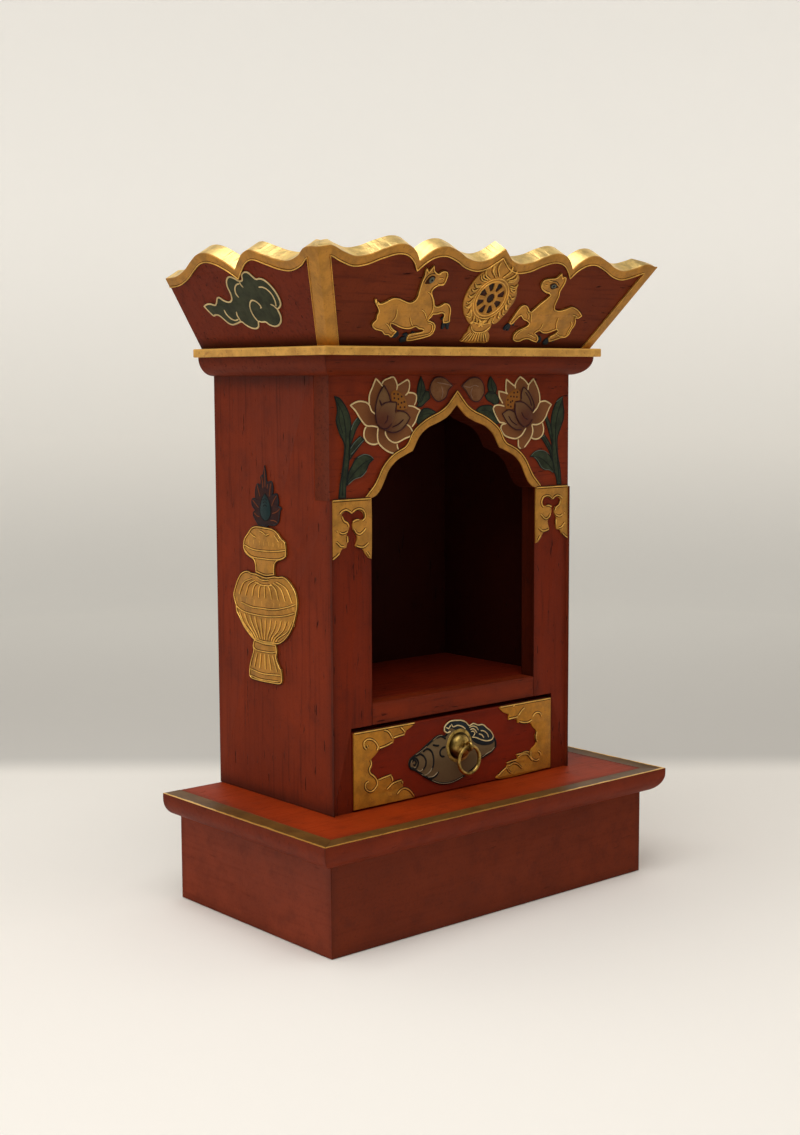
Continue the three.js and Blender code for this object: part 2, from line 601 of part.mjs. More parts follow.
function ringPull() {
  const boss = bossSolid();
  add("ring_boss", boss, brass);
  const loop = new THREE.TorusGeometry(EYE_RADIUS, EYE_WIRE, 8, 16);
  loop.rotateY(Math.PI / 2);
  loop.translate(PULL_X, FRONT - EYE_OUT, EYE_Z);
  const neck = new THREE.CylinderGeometry(EYE_WIRE, 1.7, 2.6, 12);
  neck.rotateX(Math.PI);
  neck.translate(PULL_X, FRONT - BOSS_HEIGHT - 0.5, EYE_Z - 0.4);
  add("ring_eye", solid(loop).add(solid(neck)).subtract(boss), brass);
  const ring = new THREE.TorusGeometry(RING_RADIUS, RING_WIRE, 8, 28);
  ring.rotateX(Math.PI / 2);
  ring.translate(PULL_X, FRONT - EYE_OUT, EYE_Z - RING_RADIUS);
  add("ring", ring, brass);
}

plinth();
cabinet();
crown();
drawer();
ringPull();

export default altar;
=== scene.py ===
"""Household altar cabinet: lacquered boards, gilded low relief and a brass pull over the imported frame."""
import math

import bpy
from mathutils import Matrix, Vector


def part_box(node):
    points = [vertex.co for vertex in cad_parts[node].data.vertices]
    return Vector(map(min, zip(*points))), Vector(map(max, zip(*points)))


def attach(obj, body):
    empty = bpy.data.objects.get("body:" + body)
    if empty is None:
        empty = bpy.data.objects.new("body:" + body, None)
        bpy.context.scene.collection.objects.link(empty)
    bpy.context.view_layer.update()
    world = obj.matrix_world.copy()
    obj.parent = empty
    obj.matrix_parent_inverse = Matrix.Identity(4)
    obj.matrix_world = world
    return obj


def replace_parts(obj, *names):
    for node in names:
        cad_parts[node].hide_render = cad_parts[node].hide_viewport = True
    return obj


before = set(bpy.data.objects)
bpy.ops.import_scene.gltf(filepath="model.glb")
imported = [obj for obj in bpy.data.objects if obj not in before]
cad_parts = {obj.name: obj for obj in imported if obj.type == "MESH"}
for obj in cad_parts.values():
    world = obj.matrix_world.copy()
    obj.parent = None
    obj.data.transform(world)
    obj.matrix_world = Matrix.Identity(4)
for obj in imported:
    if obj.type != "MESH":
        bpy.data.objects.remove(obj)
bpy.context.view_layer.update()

bl_info = {
    "name": "Household Altar Cabinet",
    "version": (1, 0, 0),
    "blender": (4, 5, 0),
    "location": "View3D > Sidebar > Altar",
    "description": "Finish and low relief for a lacquered household altar cabinet",
    "category": "Add Mesh",
}

MM = 0.001


# ---- places, from the frame

def low(node):
    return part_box(node)[0]


def high(node):
    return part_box(node)[1]


HALF = high("side_right").x
FRONT = low("rail").y
BACK = high("back_panel").y
PLINTH_TOP = high("plinth_top").z
NICHE_HALF = high("rail").x
DRAWER_TOP = low("rail").z
ARCH_FOOT = high("stile_left").z
CABINET_TOP = low("abacus").z
CROWN_FOOT = high("abacus").z
STILE_BACK = high("rail").y
ARCH_BACK = high("arch_board").y
SIDE_INNER = high("back_panel").x
CORNICE_FOOT = low("cornice_front").z
CORNICE_OUT = high("cornice_right").x - HALF
PLINTH_HALF = high("plinth_front").x
PLINTH_FRONT = low("plinth_front").y
PLINTH_BACK = high("plinth_back").y
BORDER_SIDE = high("plinth_moulding_right").x - PLINTH_HALF
BORDER_FRONT = PLINTH_FRONT - low("plinth_moulding_front").y
BORDER_FOOT = low("plinth_moulding_front").z
# The crown: its boards' lean from upright, the outer half width and the front of its foot, the
# thickness of its boards and the height of a corner, measured up the board.
FLARE = math.radians(30.4)
CROWN_HALF = 0.1212
CROWN_FRONT = -0.0498
CROWN_THICK = 0.012
CORNER_HEIGHT = 0.0697
LEAN = math.sin(FLARE)
RISE = math.cos(FLARE)
# The upright part of the plinth's border, above its quarter round.
BORDER_FLAT = 0.0036


def panel(origin, right, up):
    """Axes of a painted face: right along it, up it and out of it."""
    right = Vector(right)
    up = Vector(up)
    out = right.cross(up)
    matrix = Matrix((right, up, out)).transposed().to_4x4()
    matrix.translation = Vector(origin)
    return matrix


PANELS = {
    "front": panel((0, FRONT, 0), (1, 0, 0), (0, 0, 1)),
    "left": panel((-HALF, 0, 0), (0, -1, 0), (0, 0, 1)),
    "right": panel((HALF, 0, 0), (0, 1, 0), (0, 0, 1)),
    "crown_front": panel((0, CROWN_FRONT, CROWN_FOOT), (1, 0, 0), (0, -LEAN, RISE)),
    "crown_left": panel((-CROWN_HALF, 0, CROWN_FOOT), (0, -1, 0), (-LEAN, 0, RISE)),
    "crown_right": panel((CROWN_HALF, 0, CROWN_FOOT), (0, 1, 0), (LEAN, 0, RISE)),
    "plinth_front": panel((0, PLINTH_FRONT, 0), (1, 0, 0), (0, 0, 1)),
    "plinth_left": panel((-PLINTH_HALF, 0, 0), (0, -1, 0), (0, 0, 1)),
    "plinth_right": panel((PLINTH_HALF, 0, 0), (0, 1, 0), (0, 0, 1)),
}


# ---- what a user would change

def size_property(name, description, default):
    return bpy.props.FloatProperty(
        name=name, description=description, default=default, unit="LENGTH", subtype="DISTANCE")


class AltarSizes(bpy.types.PropertyGroup):
    gilt_height: size_property("Gilt height", "How far the gilded figures stand out", 0.0010)
    paint_height: size_property("Painted height", "How far the painted flowers and clouds stand out", 0.0007)
    line_width: size_property("Line width", "Width of the raised contour lines", 0.0010)
    line_height: size_property("Line height", "How far a contour line stands above its figure", 0.0007)
    edge_round: size_property("Edge rounding", "Rounding worn on to the boards' edges", 0.0007)
    wave_band: size_property("Wave band", "Width of the gilt band under the crown's waved edge", 0.0064)
    corner_band: size_property("Corner band", "Width of the gilt bands along the crown's corners", 0.0080)


def colour_property(name, description, default):
    return bpy.props.FloatVectorProperty(
        name=name, description=description, default=default, size=3, min=0, max=1, subtype="COLOR_GAMMA")


class AltarColours(bpy.types.PropertyGroup):
    lacquer: colour_property("Lacquer", "Red lacquer of the boards", (0.47, 0.155, 0.035))
    lacquer_dark: colour_property(
        "Dark lacquer", "Lacquer where smoke and handling darkened it", (0.27, 0.075, 0.025))
    bare: colour_property("Inner paint", "Thin paint on hidden boards", (0.36, 0.15, 0.10))
    gold: colour_property("Gilding", "Worn gold paint of the figures", (0.73, 0.51, 0.19))
    # Brighter, burnished gilding on raised lines and arrises, its colour lifted as a painted highlight.
    highlit_gold: colour_property("Bright gilding", "Gold on raised lines and rims", (0.97, 0.76, 0.37))
    olive: colour_property("Toned gold", "Dulled gold of the plinth's border", (0.40, 0.27, 0.11))
    leaf: colour_property("Leaf green", "Dark green of leaves and clouds", (0.155, 0.175, 0.125))
    cream: colour_property("Cream line", "Pale line round petals and leaves", (0.86, 0.76, 0.55))
    navy: colour_property("Dark blue", "Blue-black of hooves and jewel", (0.11, 0.14, 0.16))
    brass: colour_property("Brass", "Aged brass of the ring pull", (0.76, 0.63, 0.34))


def sizes():
    return bpy.context.scene.altar_sizes


def colours():
    return bpy.context.scene.altar_colours


# ---- shader arithmetic

class Wire:
    """A number socket: arithmetic on it adds Math nodes."""

    def __init__(self, finish, socket):
        self.finish = finish
        self.socket = socket

    def __add__(self, other):
        return self.finish.maths("ADD", self, other)

    def __sub__(self, other):
        return self.finish.maths("SUBTRACT", self, other)

    def __rsub__(self, other):
        return self.finish.maths("SUBTRACT", other, self)

    def __mul__(self, other):
        return self.finish.maths("MULTIPLY", self, other)

    __radd__ = __add__
    __rmul__ = __mul__


class Finish:
    """A procedural material made of patterns in Object coordinates."""

    def __init__(self, name):
        self.material = bpy.data.materials.new(name)
        self.material.use_nodes = True
        self.tree = self.material.node_tree
        self.tree.nodes.clear()
        self.place = self.node("ShaderNodeTexCoord").outputs["Object"]

    def node(self, kind, settings=None, sockets=None):
        node = self.tree.nodes.new(kind)
        for name, value in (settings or {}).items():
            setattr(node, name, value)
        for name, value in (sockets or {}).items():
            self.feed(node.inputs[name], value)
        return node

    def feed(self, socket, value):
        if isinstance(value, Wire):
            value = value.socket
        if isinstance(value, bpy.types.NodeSocket):
            self.tree.links.new(value, socket)
        else:
            socket.default_value = value

    def maths(self, operation, *values):
        node = self.node("ShaderNodeMath", {"operation": operation}, dict(enumerate(values)))
        return Wire(self, node.outputs[0])

    def smaller(self, first, second):
        return self.maths("MINIMUM", first, second)

    def larger(self, first, second):
        return self.maths("MAXIMUM", first, second)

    def fade(self, value, start, end):
        """0 at start, 1 at end, softly between."""
        node = self.node("ShaderNodeMapRange", {"interpolation_type": "SMOOTHSTEP"}, {
            "Value": value, "From Min": start, "From Max": end, "To Min": 0.0, "To Max": 1.0})
        return Wire(self, node.outputs["Result"])

    def noise(self, size, detail, rough=0.55, stretch=(1, 1, 1), shift=0.0):
        """Mottling with spots about size metres across, drawn out along an axis by a stretch below 1."""
        moved = self.node("ShaderNodeMapping", {}, {
            "Vector": self.place, "Location": (shift, shift, shift), "Scale": stretch})
        node = self.node("ShaderNodeTexNoise", {}, {
            "Vector": moved.outputs[0], "Scale": 0.5 / size, "Detail": detail, "Roughness": rough})
        return Wire(self, node.outputs["Fac"])

    def blend(self, factor, first, second):
        node = self.node("ShaderNodeMix", {"data_type": "RGBA"}, {0: factor, 6: first, 7: second})
        return node.outputs[2]

    def axes(self):
        node = self.node("ShaderNodeSeparateXYZ", {}, {0: self.place})
        return [Wire(self, socket) for socket in node.outputs]

    def distance(self, across, up):
        return self.maths("SQRT", across * across + up * up)

    def arris(self, box):
        """Distance to the nearest edge of a box-shaped board, for a point on its surface."""
        near = [self.smaller(value - lo, hi - value) for value, lo, hi in zip(self.axes(), *box)]
        first = self.smaller(near[0], near[1])
        second = self.larger(near[0], near[1])
        return self.larger(first, self.smaller(second, near[2]))

    def finish(self, colour, roughness, metallic=0.0, height=None, depth=0.0003, shine=0.5, glow=None):
        sockets = {"Base Color": colour, "Roughness": roughness, "Metallic": metallic,
                   "Specular IOR Level": shine}
        if glow is not None:
            sockets.update({"Emission Color": glow, "Emission Strength": 1.0})
        if height is not None:
            bump = self.node("ShaderNodeBump", {}, {"Strength": 1.0, "Distance": depth, "Height": height})
            sockets["Normal"] = bump.outputs["Normal"]
        shader = self.node("ShaderNodeBsdfPrincipled", {}, sockets)
        self.node("ShaderNodeOutputMaterial", {}, {"Surface": shader.outputs[0]})
        return self.material


def paint(colour, share=1.0):
    """A display colour as the shader's linear colour, darkened to a share of itself."""
    linear = [c / 12.92 if c <= 0.04045 else ((c + 0.055) / 1.055) ** 2.4 for c in colour]
    return (*[c * share for c in linear], 1.0)


GRAIN = {"x": (0.05, 1, 1), "y": (1, 0.05, 1), "z": (1, 1, 0.05)}
# How strongly the wood's grain shows through the lacquer of a plain board.
FULL_GRAIN = 0.45


def lacquer(name, grain, box, tone, colour=None, dark=(), lines=FULL_GRAIN):
    """Aged red lacquer over wood: mottled, finely cracked along the grain and rubbed at the edges.

    Each of dark is a band of painted shade and stain along an axis: axis number, where it is full, where it
    ends, its strength.
    """
    look = Finish(name)
    shade = colour or colours().lacquer
    smoke = colours().lacquer_dark
    mottle = look.noise(0.030, 4, 0.6, shift=0.11)
    cloudy = look.noise(0.007, 3, 0.6, shift=0.3)
    grain_lines = look.noise(0.0014, 3, 0.6, GRAIN[grain])
    specks = look.noise(0.0007, 3, 0.7, shift=0.5)
    ticks = look.noise(0.0010, 2, 0.5, [max(v, 0.14) for v in GRAIN[grain]], shift=0.7)
    cracks = look.fade(ticks, 0.655, 0.73) * look.fade(cloudy, 0.38, 0.52) * min(1.0, lines / FULL_GRAIN)
    base = look.blend(look.fade(mottle, 0.3, 0.75), paint(shade, 0.88 * tone), paint(shade, 1.14 * tone))
    base = look.blend(look.fade(cloudy, 0.45, 0.8) * 0.35, base, paint(smoke, tone))
    base = look.blend(look.fade(grain_lines, 0.50, 0.72) * lines, base, paint(smoke, tone))
    base = look.blend(look.fade(specks, 0.48, 0.75) * 0.30, base, paint(smoke, 0.8 * tone))
    base = look.blend(cracks * 0.8, base, paint(smoke, 0.2))
    rough = 0.50 + grain_lines * 0.16 + cracks * 0.2
    height = grain_lines * 0.30 + cloudy * 0.20 + specks * 0.25 - cracks * 1.0
    if box is not None:
        edge = look.arris(box) + cloudy * 0.0016 - 0.0008
        dark_brown = 1 - look.fade(edge, 0.0, 0.007)
        rubbed = 1 - look.fade(edge + grain_lines * 0.0012, 0.0002, 0.0013)
        base = look.blend(dark_brown * 0.25, base, paint(smoke, 0.6))
        base = look.blend(rubbed * 0.6, base, paint(smoke, 0.2))
        rough = rough - rubbed * 0.12
    # Bands of painted shade with smoke stain, where parts meet or overhang.
    for axis, full, clear, share in dark:
        shade_and_stain = 1 - look.fade(look.axes()[axis] + cloudy * 0.003 - 0.0015, *sorted((full, clear)))
        shade_and_stain = shade_and_stain if clear > full else 1 - shade_and_stain
        base = look.blend(shade_and_stain * share, base, paint(smoke, 0.25))
    return look.finish(base, rough, height=height, depth=0.00025, shine=0.12)


def gilding(name, shade, metal=0.55, rough=0.40, worn=0.45, dirt=None):
    """Gold paint, patchy and rubbed, with the red ground and old smoke showing through."""
    look = Finish(name)
    patches = look.noise(0.005, 4, 0.65)
    specks = look.noise(0.0011, 3, 0.65, shift=0.4)
    brushed = look.noise(0.0006, 2, 0.5, shift=0.9)
    base = look.blend(look.fade(patches, 0.3, 0.7), paint(shade, 0.72), paint(shade, 1.15))
    base = look.blend(look.fade(specks, 0.56, 0.74) * worn, base, paint(dirt or (0.42, 0.19, 0.07)))
    base = look.blend(look.fade(patches, 0.60, 0.78) * worn * 0.8, base, paint(shade, 0.45))
    metallic = metal - look.fade(specks, 0.6, 0.8) * 0.3
    return look.finish(base, rough + patches * 0.16, metallic, specks * 0.6 + brushed * 0.4, 0.00028)


def painted(name, shade, second=None, rough=0.55):
    """Matt mineral paint on the flowers, clouds and shell."""
    look = Finish(name)
    mottle = look.noise(0.004, 4, 0.65)
    grit = look.noise(0.0009, 3, 0.6, shift=0.2)
    base = look.blend(look.fade(mottle, 0.32, 0.68), paint(shade, 0.8), paint(second or shade, 1.1))
    base = look.blend(look.fade(grit, 0.6, 0.8) * 0.4, base, paint(shade, 0.45))
    return look.finish(base, rough + grit * 0.15, height=grit * 0.5 + mottle * 0.5, depth=0.0002, shine=0.12)


def brass_finish(name, hollow=None):
    """Tarnished brass; hollow is the middle and radius of the dome whose foot and eye are darkened with soot
    and painted shade.
    """
    look = Finish(name)
    tarnish = look.noise(0.0028, 4, 0.7)
    scratch = look.noise(0.0004, 2, 0.5, (1, 1, 0.2))
    dull = look.fade(tarnish, 0.38, 0.68) * 0.85
    base = look.blend(dull, paint(colours().brass), paint((0.22, 0.15, 0.07)))
    if hollow is not None:
        middle_x, middle_z, radius = hollow
        x, _, z = look.axes()
        away = look.distance(x - middle_x, z - middle_z)
        # Soot with painted shade round the dome's foot, where it meets the flange, and in the eye where the
        # ring hangs.
        foot = look.fade(away, radius * 0.72, radius * 0.97)
        foot = foot * (1 - look.fade(away, radius, radius + 0.0005))
        pit = 1 - look.fade(away, 0.0014, 0.0034)
        soot_and_shade = look.larger(foot * 0.85, pit * 0.8)
        base = look.blend(soot_and_shade, base, paint((0.11, 0.075, 0.035)))
    return look.finish(base, 0.26 + tarnish * 0.22, 1.0, scratch * 0.4 + tarnish * 0.6, 0.0001)


FINISHES = {}


def finish_named(name, make, *values, **options):
    """Each finish is made once and shared."""
    if name not in FINISHES:
        FINISHES[name] = make(name, *values, **options)
    return FINISHES[name]


def gold():
    return finish_named("gilded_figures", gilding, colours().gold)


# Raised lines in the brighter gilding: a painted highlight on their gold.
def highlit_gold():
    return finish_named("gilded_lines_painted_highlight", gilding, colours().highlit_gold, 0.75, 0.30, 0.3)


# Gilding on the crown's top edges, lifted to pale gold as a painted reflection of the light above.
def rim_gold_with_painted_reflection():
    return finish_named("gilded_rim_painted_reflection", gilding, (0.99, 0.84, 0.52), 0.8, 0.32, 0.30, (0.62, 0.24, 0.08))


def mauve():
    return finish_named("mauve_lines", painted, (0.23, 0.11, 0.12), rough=0.5)


# Dark brown paint: the seams of grime and painted shade at the foot of raised lines, and the deer's eyes.
def dark_brown():
    return finish_named("dark_brown_paint", painted, (0.23, 0.11, 0.045), rough=0.7)


def ink():
    return finish_named("ink_lines", painted, (0.075, 0.078, 0.082), rough=0.5)


def navy():
    return finish_named("blue_black_paint", painted, colours().navy, rough=0.4)


def leaf():
    return finish_named("leaf_green_paint", painted, colours().leaf, (0.20, 0.23, 0.155))


def cream():
    return finish_named("cream_lines", painted, colours().cream, rough=0.5)


# ---- soft lines and outlines

def turn_at(before, here, after):
    first = Vector(here) - Vector(before)
    second = Vector(after) - Vector(here)
    if first.length < 1e-9 or second.length < 1e-9:
        return 0.0
    return math.degrees(first.angle(second))


def soft_span(p0, p1, p2, p3, pieces):
    """Centripetal curve from p1 to p2, without its last point."""
    t1 = max((p1 - p0).length, 1e-6) ** 0.5
    t2 = t1 + max((p2 - p1).length, 1e-6) ** 0.5
    t3 = t2 + max((p3 - p2).length, 1e-6) ** 0.5
    places = []
    for i in range(pieces):
        t = t1 + (t2 - t1) * i / pieces
        a1 = p0 * ((t1 - t) / t1) + p1 * (t / t1)
        a2 = p1 * ((t2 - t) / (t2 - t1)) + p2 * ((t - t1) / (t2 - t1))
        a3 = p2 * ((t3 - t) / (t3 - t2)) + p3 * ((t - t2) / (t3 - t2))
        b1 = a1 * ((t2 - t) / t2) + a2 * (t / t2)
        b2 = a2 * ((t3 - t) / (t3 - t1)) + a3 * ((t - t1) / (t3 - t1))
        places.append(b1 * ((t2 - t) / (t2 - t1)) + b2 * ((t - t1) / (t2 - t1)))
    return places


# A soft line keeps a sharp corner where it turns by more than this, in degrees.
SHARP_TURN = 62.0


def soft(points, closed=False, step=0.9):
    """A soft line through points, in steps about a millimetre long, kept sharp at corners."""
    knots = [Vector(p) for p in points]
    count = len(knots)
    spans = count if closed else count - 1
    sharp = [turn_at(knots[i - 1], knots[i], knots[(i + 1) % count]) > SHARP_TURN for i in range(count)]
    if not closed:
        sharp[0] = sharp[-1] = True
    line = []
    for i in range(spans):
        p1 = knots[i]
        p2 = knots[(i + 1) % count]
        p0 = p1 * 2 - p2 if sharp[i] else knots[i - 1]
        p3 = p2 * 2 - p1 if sharp[(i + 1) % count] else knots[(i + 2) % count]
        line += soft_span(p0, p1, p2, p3, max(1, round((p2 - p1).length / step)))
    return line if closed else line + [knots[-1]]


def soft_lines(lines, step=0.9):
    return [soft(line, step=step) for line in lines]


def flipped(points):
    return [(-p[0], p[1]) for p in points]


def inset(line, distance):
    """A closed line moved inwards by a distance."""
    count = len(line)
    area = sum(line[i].cross(line[(i + 1) % count]) for i in range(count))
    inward = 1 if area > 0 else -1
    moved = []
    for i, here in enumerate(line):
        along = (line[(i + 1) % count] - line[i - 1]).normalized()
        moved.append(here + Vector((-along.y, along.x)) * distance * inward)
    return moved


def arc(centre, radius, start, end, pieces):
    angles = [math.radians(start + (end - start) * i / pieces) for i in range(pieces + 1)]
    return [(centre[0] + radius * math.cos(a), centre[1] + radius * math.sin(a)) for a in angles]


# ---- making pieces

def clear_selection():
    if bpy.context.object is not None and bpy.context.object.mode != "OBJECT":
        bpy.ops.object.mode_set(mode="OBJECT")
    bpy.ops.object.select_all(action="DESELECT")


def pick(piece):
    clear_selection()
    piece.select_set(True)
    bpy.context.view_layer.objects.active = piece


def whole_in_edit(piece):
    pick(piece)
    bpy.ops.object.mode_set(mode="EDIT")
    bpy.ops.mesh.select_all(action="SELECT")


def mend(piece):
    """Welds the mesh and turns its faces outwards."""
    whole_in_edit(piece)
    bpy.ops.mesh.remove_doubles(threshold=1e-6)
    bpy.ops.mesh.normals_make_consistent(inside=False)
    bpy.ops.object.mode_set(mode="OBJECT")


def smooth_by_angle(piece, degrees=38):
    pick(piece)
    bpy.ops.object.shade_smooth_by_angle(angle=math.radians(degrees))


def new_curve(name, lines, closed, flat):
    clear_selection()
    bpy.ops.curve.primitive_bezier_circle_add(radius=0.01)
    piece = bpy.context.object
    piece.name = name
    curve = piece.data
    curve.dimensions = "2D" if flat else "3D"
    curve.splines.clear()
    for line in lines:
        spline = curve.splines.new("POLY")
        spline.points.add(len(line) - 1)
        for point, place in zip(spline.points, line):
            point.co = (place[0] * MM, place[1] * MM, 0, 1)
        spline.use_cyclic_u = closed
    return piece


def to_mesh(piece, place, finish):
    pick(piece)
    bpy.ops.object.convert(target="MESH")
    piece = bpy.context.object
    piece.data.transform(place)
    piece.data.materials.clear()
    piece.data.materials.append(finish)
    mend(piece)
    return piece


def plate(name, lines, top, face, finish, rounding, bottom=-0.3):
    """A flat raised figure with softened edges, its outlines in millimetres on a face."""
    piece = new_curve(name, lines, True, True)
    curve = piece.data
    curve.fill_mode = "BOTH"
    curve.extrude = ((top - bottom) / 2 - rounding) * MM
    curve.bevel_depth = rounding * MM
    curve.offset = -rounding * MM
    curve.bevel_resolution = 1
    lift = Matrix.Translation((0, 0, (top + bottom) / 2 * MM))
    return to_mesh(piece, PANELS[face] @ lift, finish)


def ridge(name, lines, width, height, base, face, finish, closed=False):
    """Raised lines, width wide, standing height above the surface they lie on at base."""
    piece = new_curve(name, lines, closed, False)
    curve = piece.data
    curve.bevel_depth = width / 2 * MM
    curve.bevel_resolution = 1
    curve.use_fill_caps = True
    if not closed:
        for spline in curve.splines:
            spline.points[0].radius = 0.35
            spline.points[-1].radius = 0.35
    squash = Matrix.Diagonal((1, 1, 2 * height / width, 1))
    lift = Matrix.Translation((0, 0, base * MM))
    return to_mesh(piece, PANELS[face] @ lift @ squash, finish)


def contour(name, lines, width, height, base, face, finish, closed=False, seam=1.1):
    """Raised lines with a thin dark seam at their foot: grime with painted shade."""
    # The seam is grime with painted shade where the line meets the surface.
    return [ridge(name + "_grime", lines, width + seam, 0.16, base + 0.08, face, dark_brown(), closed),
            ridge(name, lines, width, height, base, face, finish, closed)]


def joined(name, pieces, body):
    """Makes one piece of several; it rides a body."""
    clear_selection()
    for piece in pieces:
        piece.select_set(True)
    bpy.context.view_layer.objects.active = pieces[0]
    if len(pieces) > 1:
        bpy.ops.object.join()
    piece = bpy.context.object
    piece.name = name
    smooth_by_angle(piece, 50)
    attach(piece, body)
    return piece


def dress(node, finish):
    """Gives a CAD board its finish and softly rounded edges."""
    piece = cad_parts[node]
    piece.data.materials.clear()
    piece.data.materials.append(finish)
    piece.modifiers.new("weld", "WELD").merge_threshold = 1e-6
    bevel = piece.modifiers.new("worn_edges", "BEVEL")
    bevel.width = sizes().edge_round
    bevel.segments = 2
    bevel.limit_method = "ANGLE"
    bevel.angle_limit = math.radians(35)


def cut(piece, point, normal):
    """Takes away what lies beyond a plane and closes the cut."""
    whole_in_edit(piece)
    bpy.ops.mesh.bisect(plane_co=point, plane_no=normal, use_fill=True, clear_outer=True)
    bpy.ops.object.mode_set(mode="OBJECT")


def slice_board(name, line, thick, face, finish, cuts, rounding=0.5):
    """A board sawn to an outline, in millimetres on its face, then cut at its joints."""
    piece = plate(name, [line], 0, face, finish, rounding, -thick)
    for point, normal in cuts:
        cut(piece, point, normal)
    mend(piece)
    return piece


def settle(piece, body, slot, *nodes):
    """Shades a sawn board evenly, its level faces flat, and puts it in the place of its CAD nodes."""
    smooth_by_angle(piece)
    piece.modifiers.new("flat_faces", "WEIGHTED_NORMAL").keep_sharp = True
    bpy.ops.object.modifier_apply(modifier="flat_faces")
    corners = piece.data.corner_normals
    flat = [all(corners[i].vector.dot(face.normal) > 0.9999 for i in face.loop_indices)
            for face in piece.data.polygons]
    for face, level in zip(piece.data.polygons, flat):
        if level:
            face.use_smooth = False
    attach(piece, body)
    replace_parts(piece, *nodes)


def box_piece(name, lowest, highest, finish):
    clear_selection()
    bpy.ops.mesh.primitive_cube_add(size=1)
    piece = bpy.context.object
    piece.name = name
    lowest = Vector(lowest)
    highest = Vector(highest)
    size = Matrix.Diagonal((*(highest - lowest), 1))
    piece.data.transform(Matrix.Translation((lowest + highest) / 2) @ size)
    piece.data.materials.append(finish)
    return piece


def round_edges(piece, width, segments, chosen):
    """Bevels the edges whose two ends both pass the test."""
    pick(piece)
    bpy.ops.object.mode_set(mode="EDIT")
    bpy.ops.mesh.select_mode(type="EDGE")
    bpy.ops.mesh.select_all(action="DESELECT")
    bpy.ops.object.mode_set(mode="OBJECT")
    spots = piece.data.vertices
    for edge in piece.data.edges:
        edge.select = all(chosen(spots[i].co) for i in edge.vertices)
    bpy.ops.object.mode_set(mode="EDIT")
    bpy.ops.mesh.bevel(offset=width, segments=segments, profile=0.5, affect="EDGES")
    bpy.ops.object.mode_set(mode="OBJECT")


def coat(piece, finish, chosen):
    """Gives the faces that pass the test, by normal and middle, another finish."""
    piece.data.materials.append(finish)
    index = len(piece.data.materials) - 1
    for face in piece.data.polygons:
        if chosen(face.normal, face.center):
            face.material_index = index


def outline(runs):
    """A closed line of soft runs, each reaching the first point of the next at a sharp corner."""
    line = []
    for i, run in enumerate(runs):
        line += soft([*run, runs[(i + 1) % len(runs)][0]])[:-1]
    return line


def both_ways(half):
    """A whole run from its right half, which starts on the middle line."""
    return [Vector((-p[0], p[1])) for p in reversed(half[1:])] + [Vector(p) for p in half]


# ---- outlines, in millimetres on their faces

# Half of the front crown board's waved edge, from its middle point to past the corner.
FRONT_WAVE = [
    (0, 74.7), (4, 71.5), (10, 67), (18.5, 64.5), (30, 66.3), (40, 70.8), (51, 73.8), (60, 72.2), (66, 68),
    (71, 62.5), (76, 68.5), (83, 72.8), (91, 73.7), (103, 70), (114, 65.3), (124, 63.6), (135, 66.3),
    (145, 69.8), (151, 69.2), (157, 67.4), (170, 58)]
# The left crown board's waved edge, from past the front corner to past the back.
SIDE_WAVE = [
    (100, 54), (87, 66.9), (80, 68.8), (71, 68.6), (62, 64), (49, 61), (37, 63), (26.5, 66.8), (14.5, 70.8),
    (6, 69), (-2, 64), (-10, 58.2), (-18, 64.5), (-28, 70), (-36, 72), (-44.5, 71.3), (-55, 67),
    (-67.5, 61), (-82, 56.8), (-94.5, 56.3), (-110, 57)]
# Half of the arch, from its point to the stile, and of the gilt band along it.
ARCH = [
    [(0, 352.3), (4, 348.5), (9, 344.2), (17, 340.5), (27, 337), (34.5, 331.5), (41, 321.5)],
    [(41, 321.5), (48, 318.8), (56, 315), (62.5, 309), (67, 301), (71, 295), (75.5, 291.8), (77.4, 291.3)]]
ARCH_BAND = [
    [(0, 362), (5, 356.5), (10, 351.5), (17, 347.5), (25, 344.5), (32, 341), (38, 337), (41.5, 333.5),
     (45, 327.5), (48, 324.5), (52, 322.8)],
    [(52, 322.8), (58, 320), (64, 315.5), (68, 311), (71, 306), (75, 300), (79, 296), (82.5, 292.5)]]


def half_line(runs):
    line = []
    for run in runs:
        line += soft(run)[:-1]
    return line + [Vector(runs[-1][-1])]


def lowered(line, drop):
    return [Vector((p[0], p[1] - drop)) for p in line]


def corner_line(foot, side, height, shift):
    """A point on a mitred corner of the crown, or shifted inwards from it, at a height up the board."""
    return Vector((side * (foot - shift + height * LEAN), height))


# ---- boards

# Boards stop this far short of a mitred joint.
JOINT_GAP = 0.0001
# How far the inner tip of a crown corner is worn down, and how steeply the worn place leans.
TIP_DROP = 0.0026
TIP_TILT = 0.2
# Half the width of the drawer's opening, in millimetres.
OPENING_HALF = 95.9


def sided(name, side):
    return name + ("_left" if side < 0 else "_right")


def crown_lacquer(name, tone, colour):
    # Painted shadow with smoke stain along the crown's foot, where it stands on the shelf.
    shadow = (2, CROWN_FOOT + 0.0005, CROWN_FOOT + 0.0085, 0.75)
    return finish_named(name, lacquer, "x", None, tone, colour, [shadow])


# Red lacquer darkened to three tenths on the faces round the opening: painted shade in the niche's mouth.
def jamb_painted_shade():
    return finish_named("jamb_painted_shade", lacquer, "z", None, 0.30)


def inner_lacquer():
    return finish_named("inner_lacquer", lacquer, "z", None, 0.5, colours().lacquer_dark)


def board_wave(face):
    if face == "crown_front":
        return both_ways(soft(FRONT_WAVE))
    wave = soft(SIDE_WAVE)
    return wave if face == "crown_left" else flipped(wave)


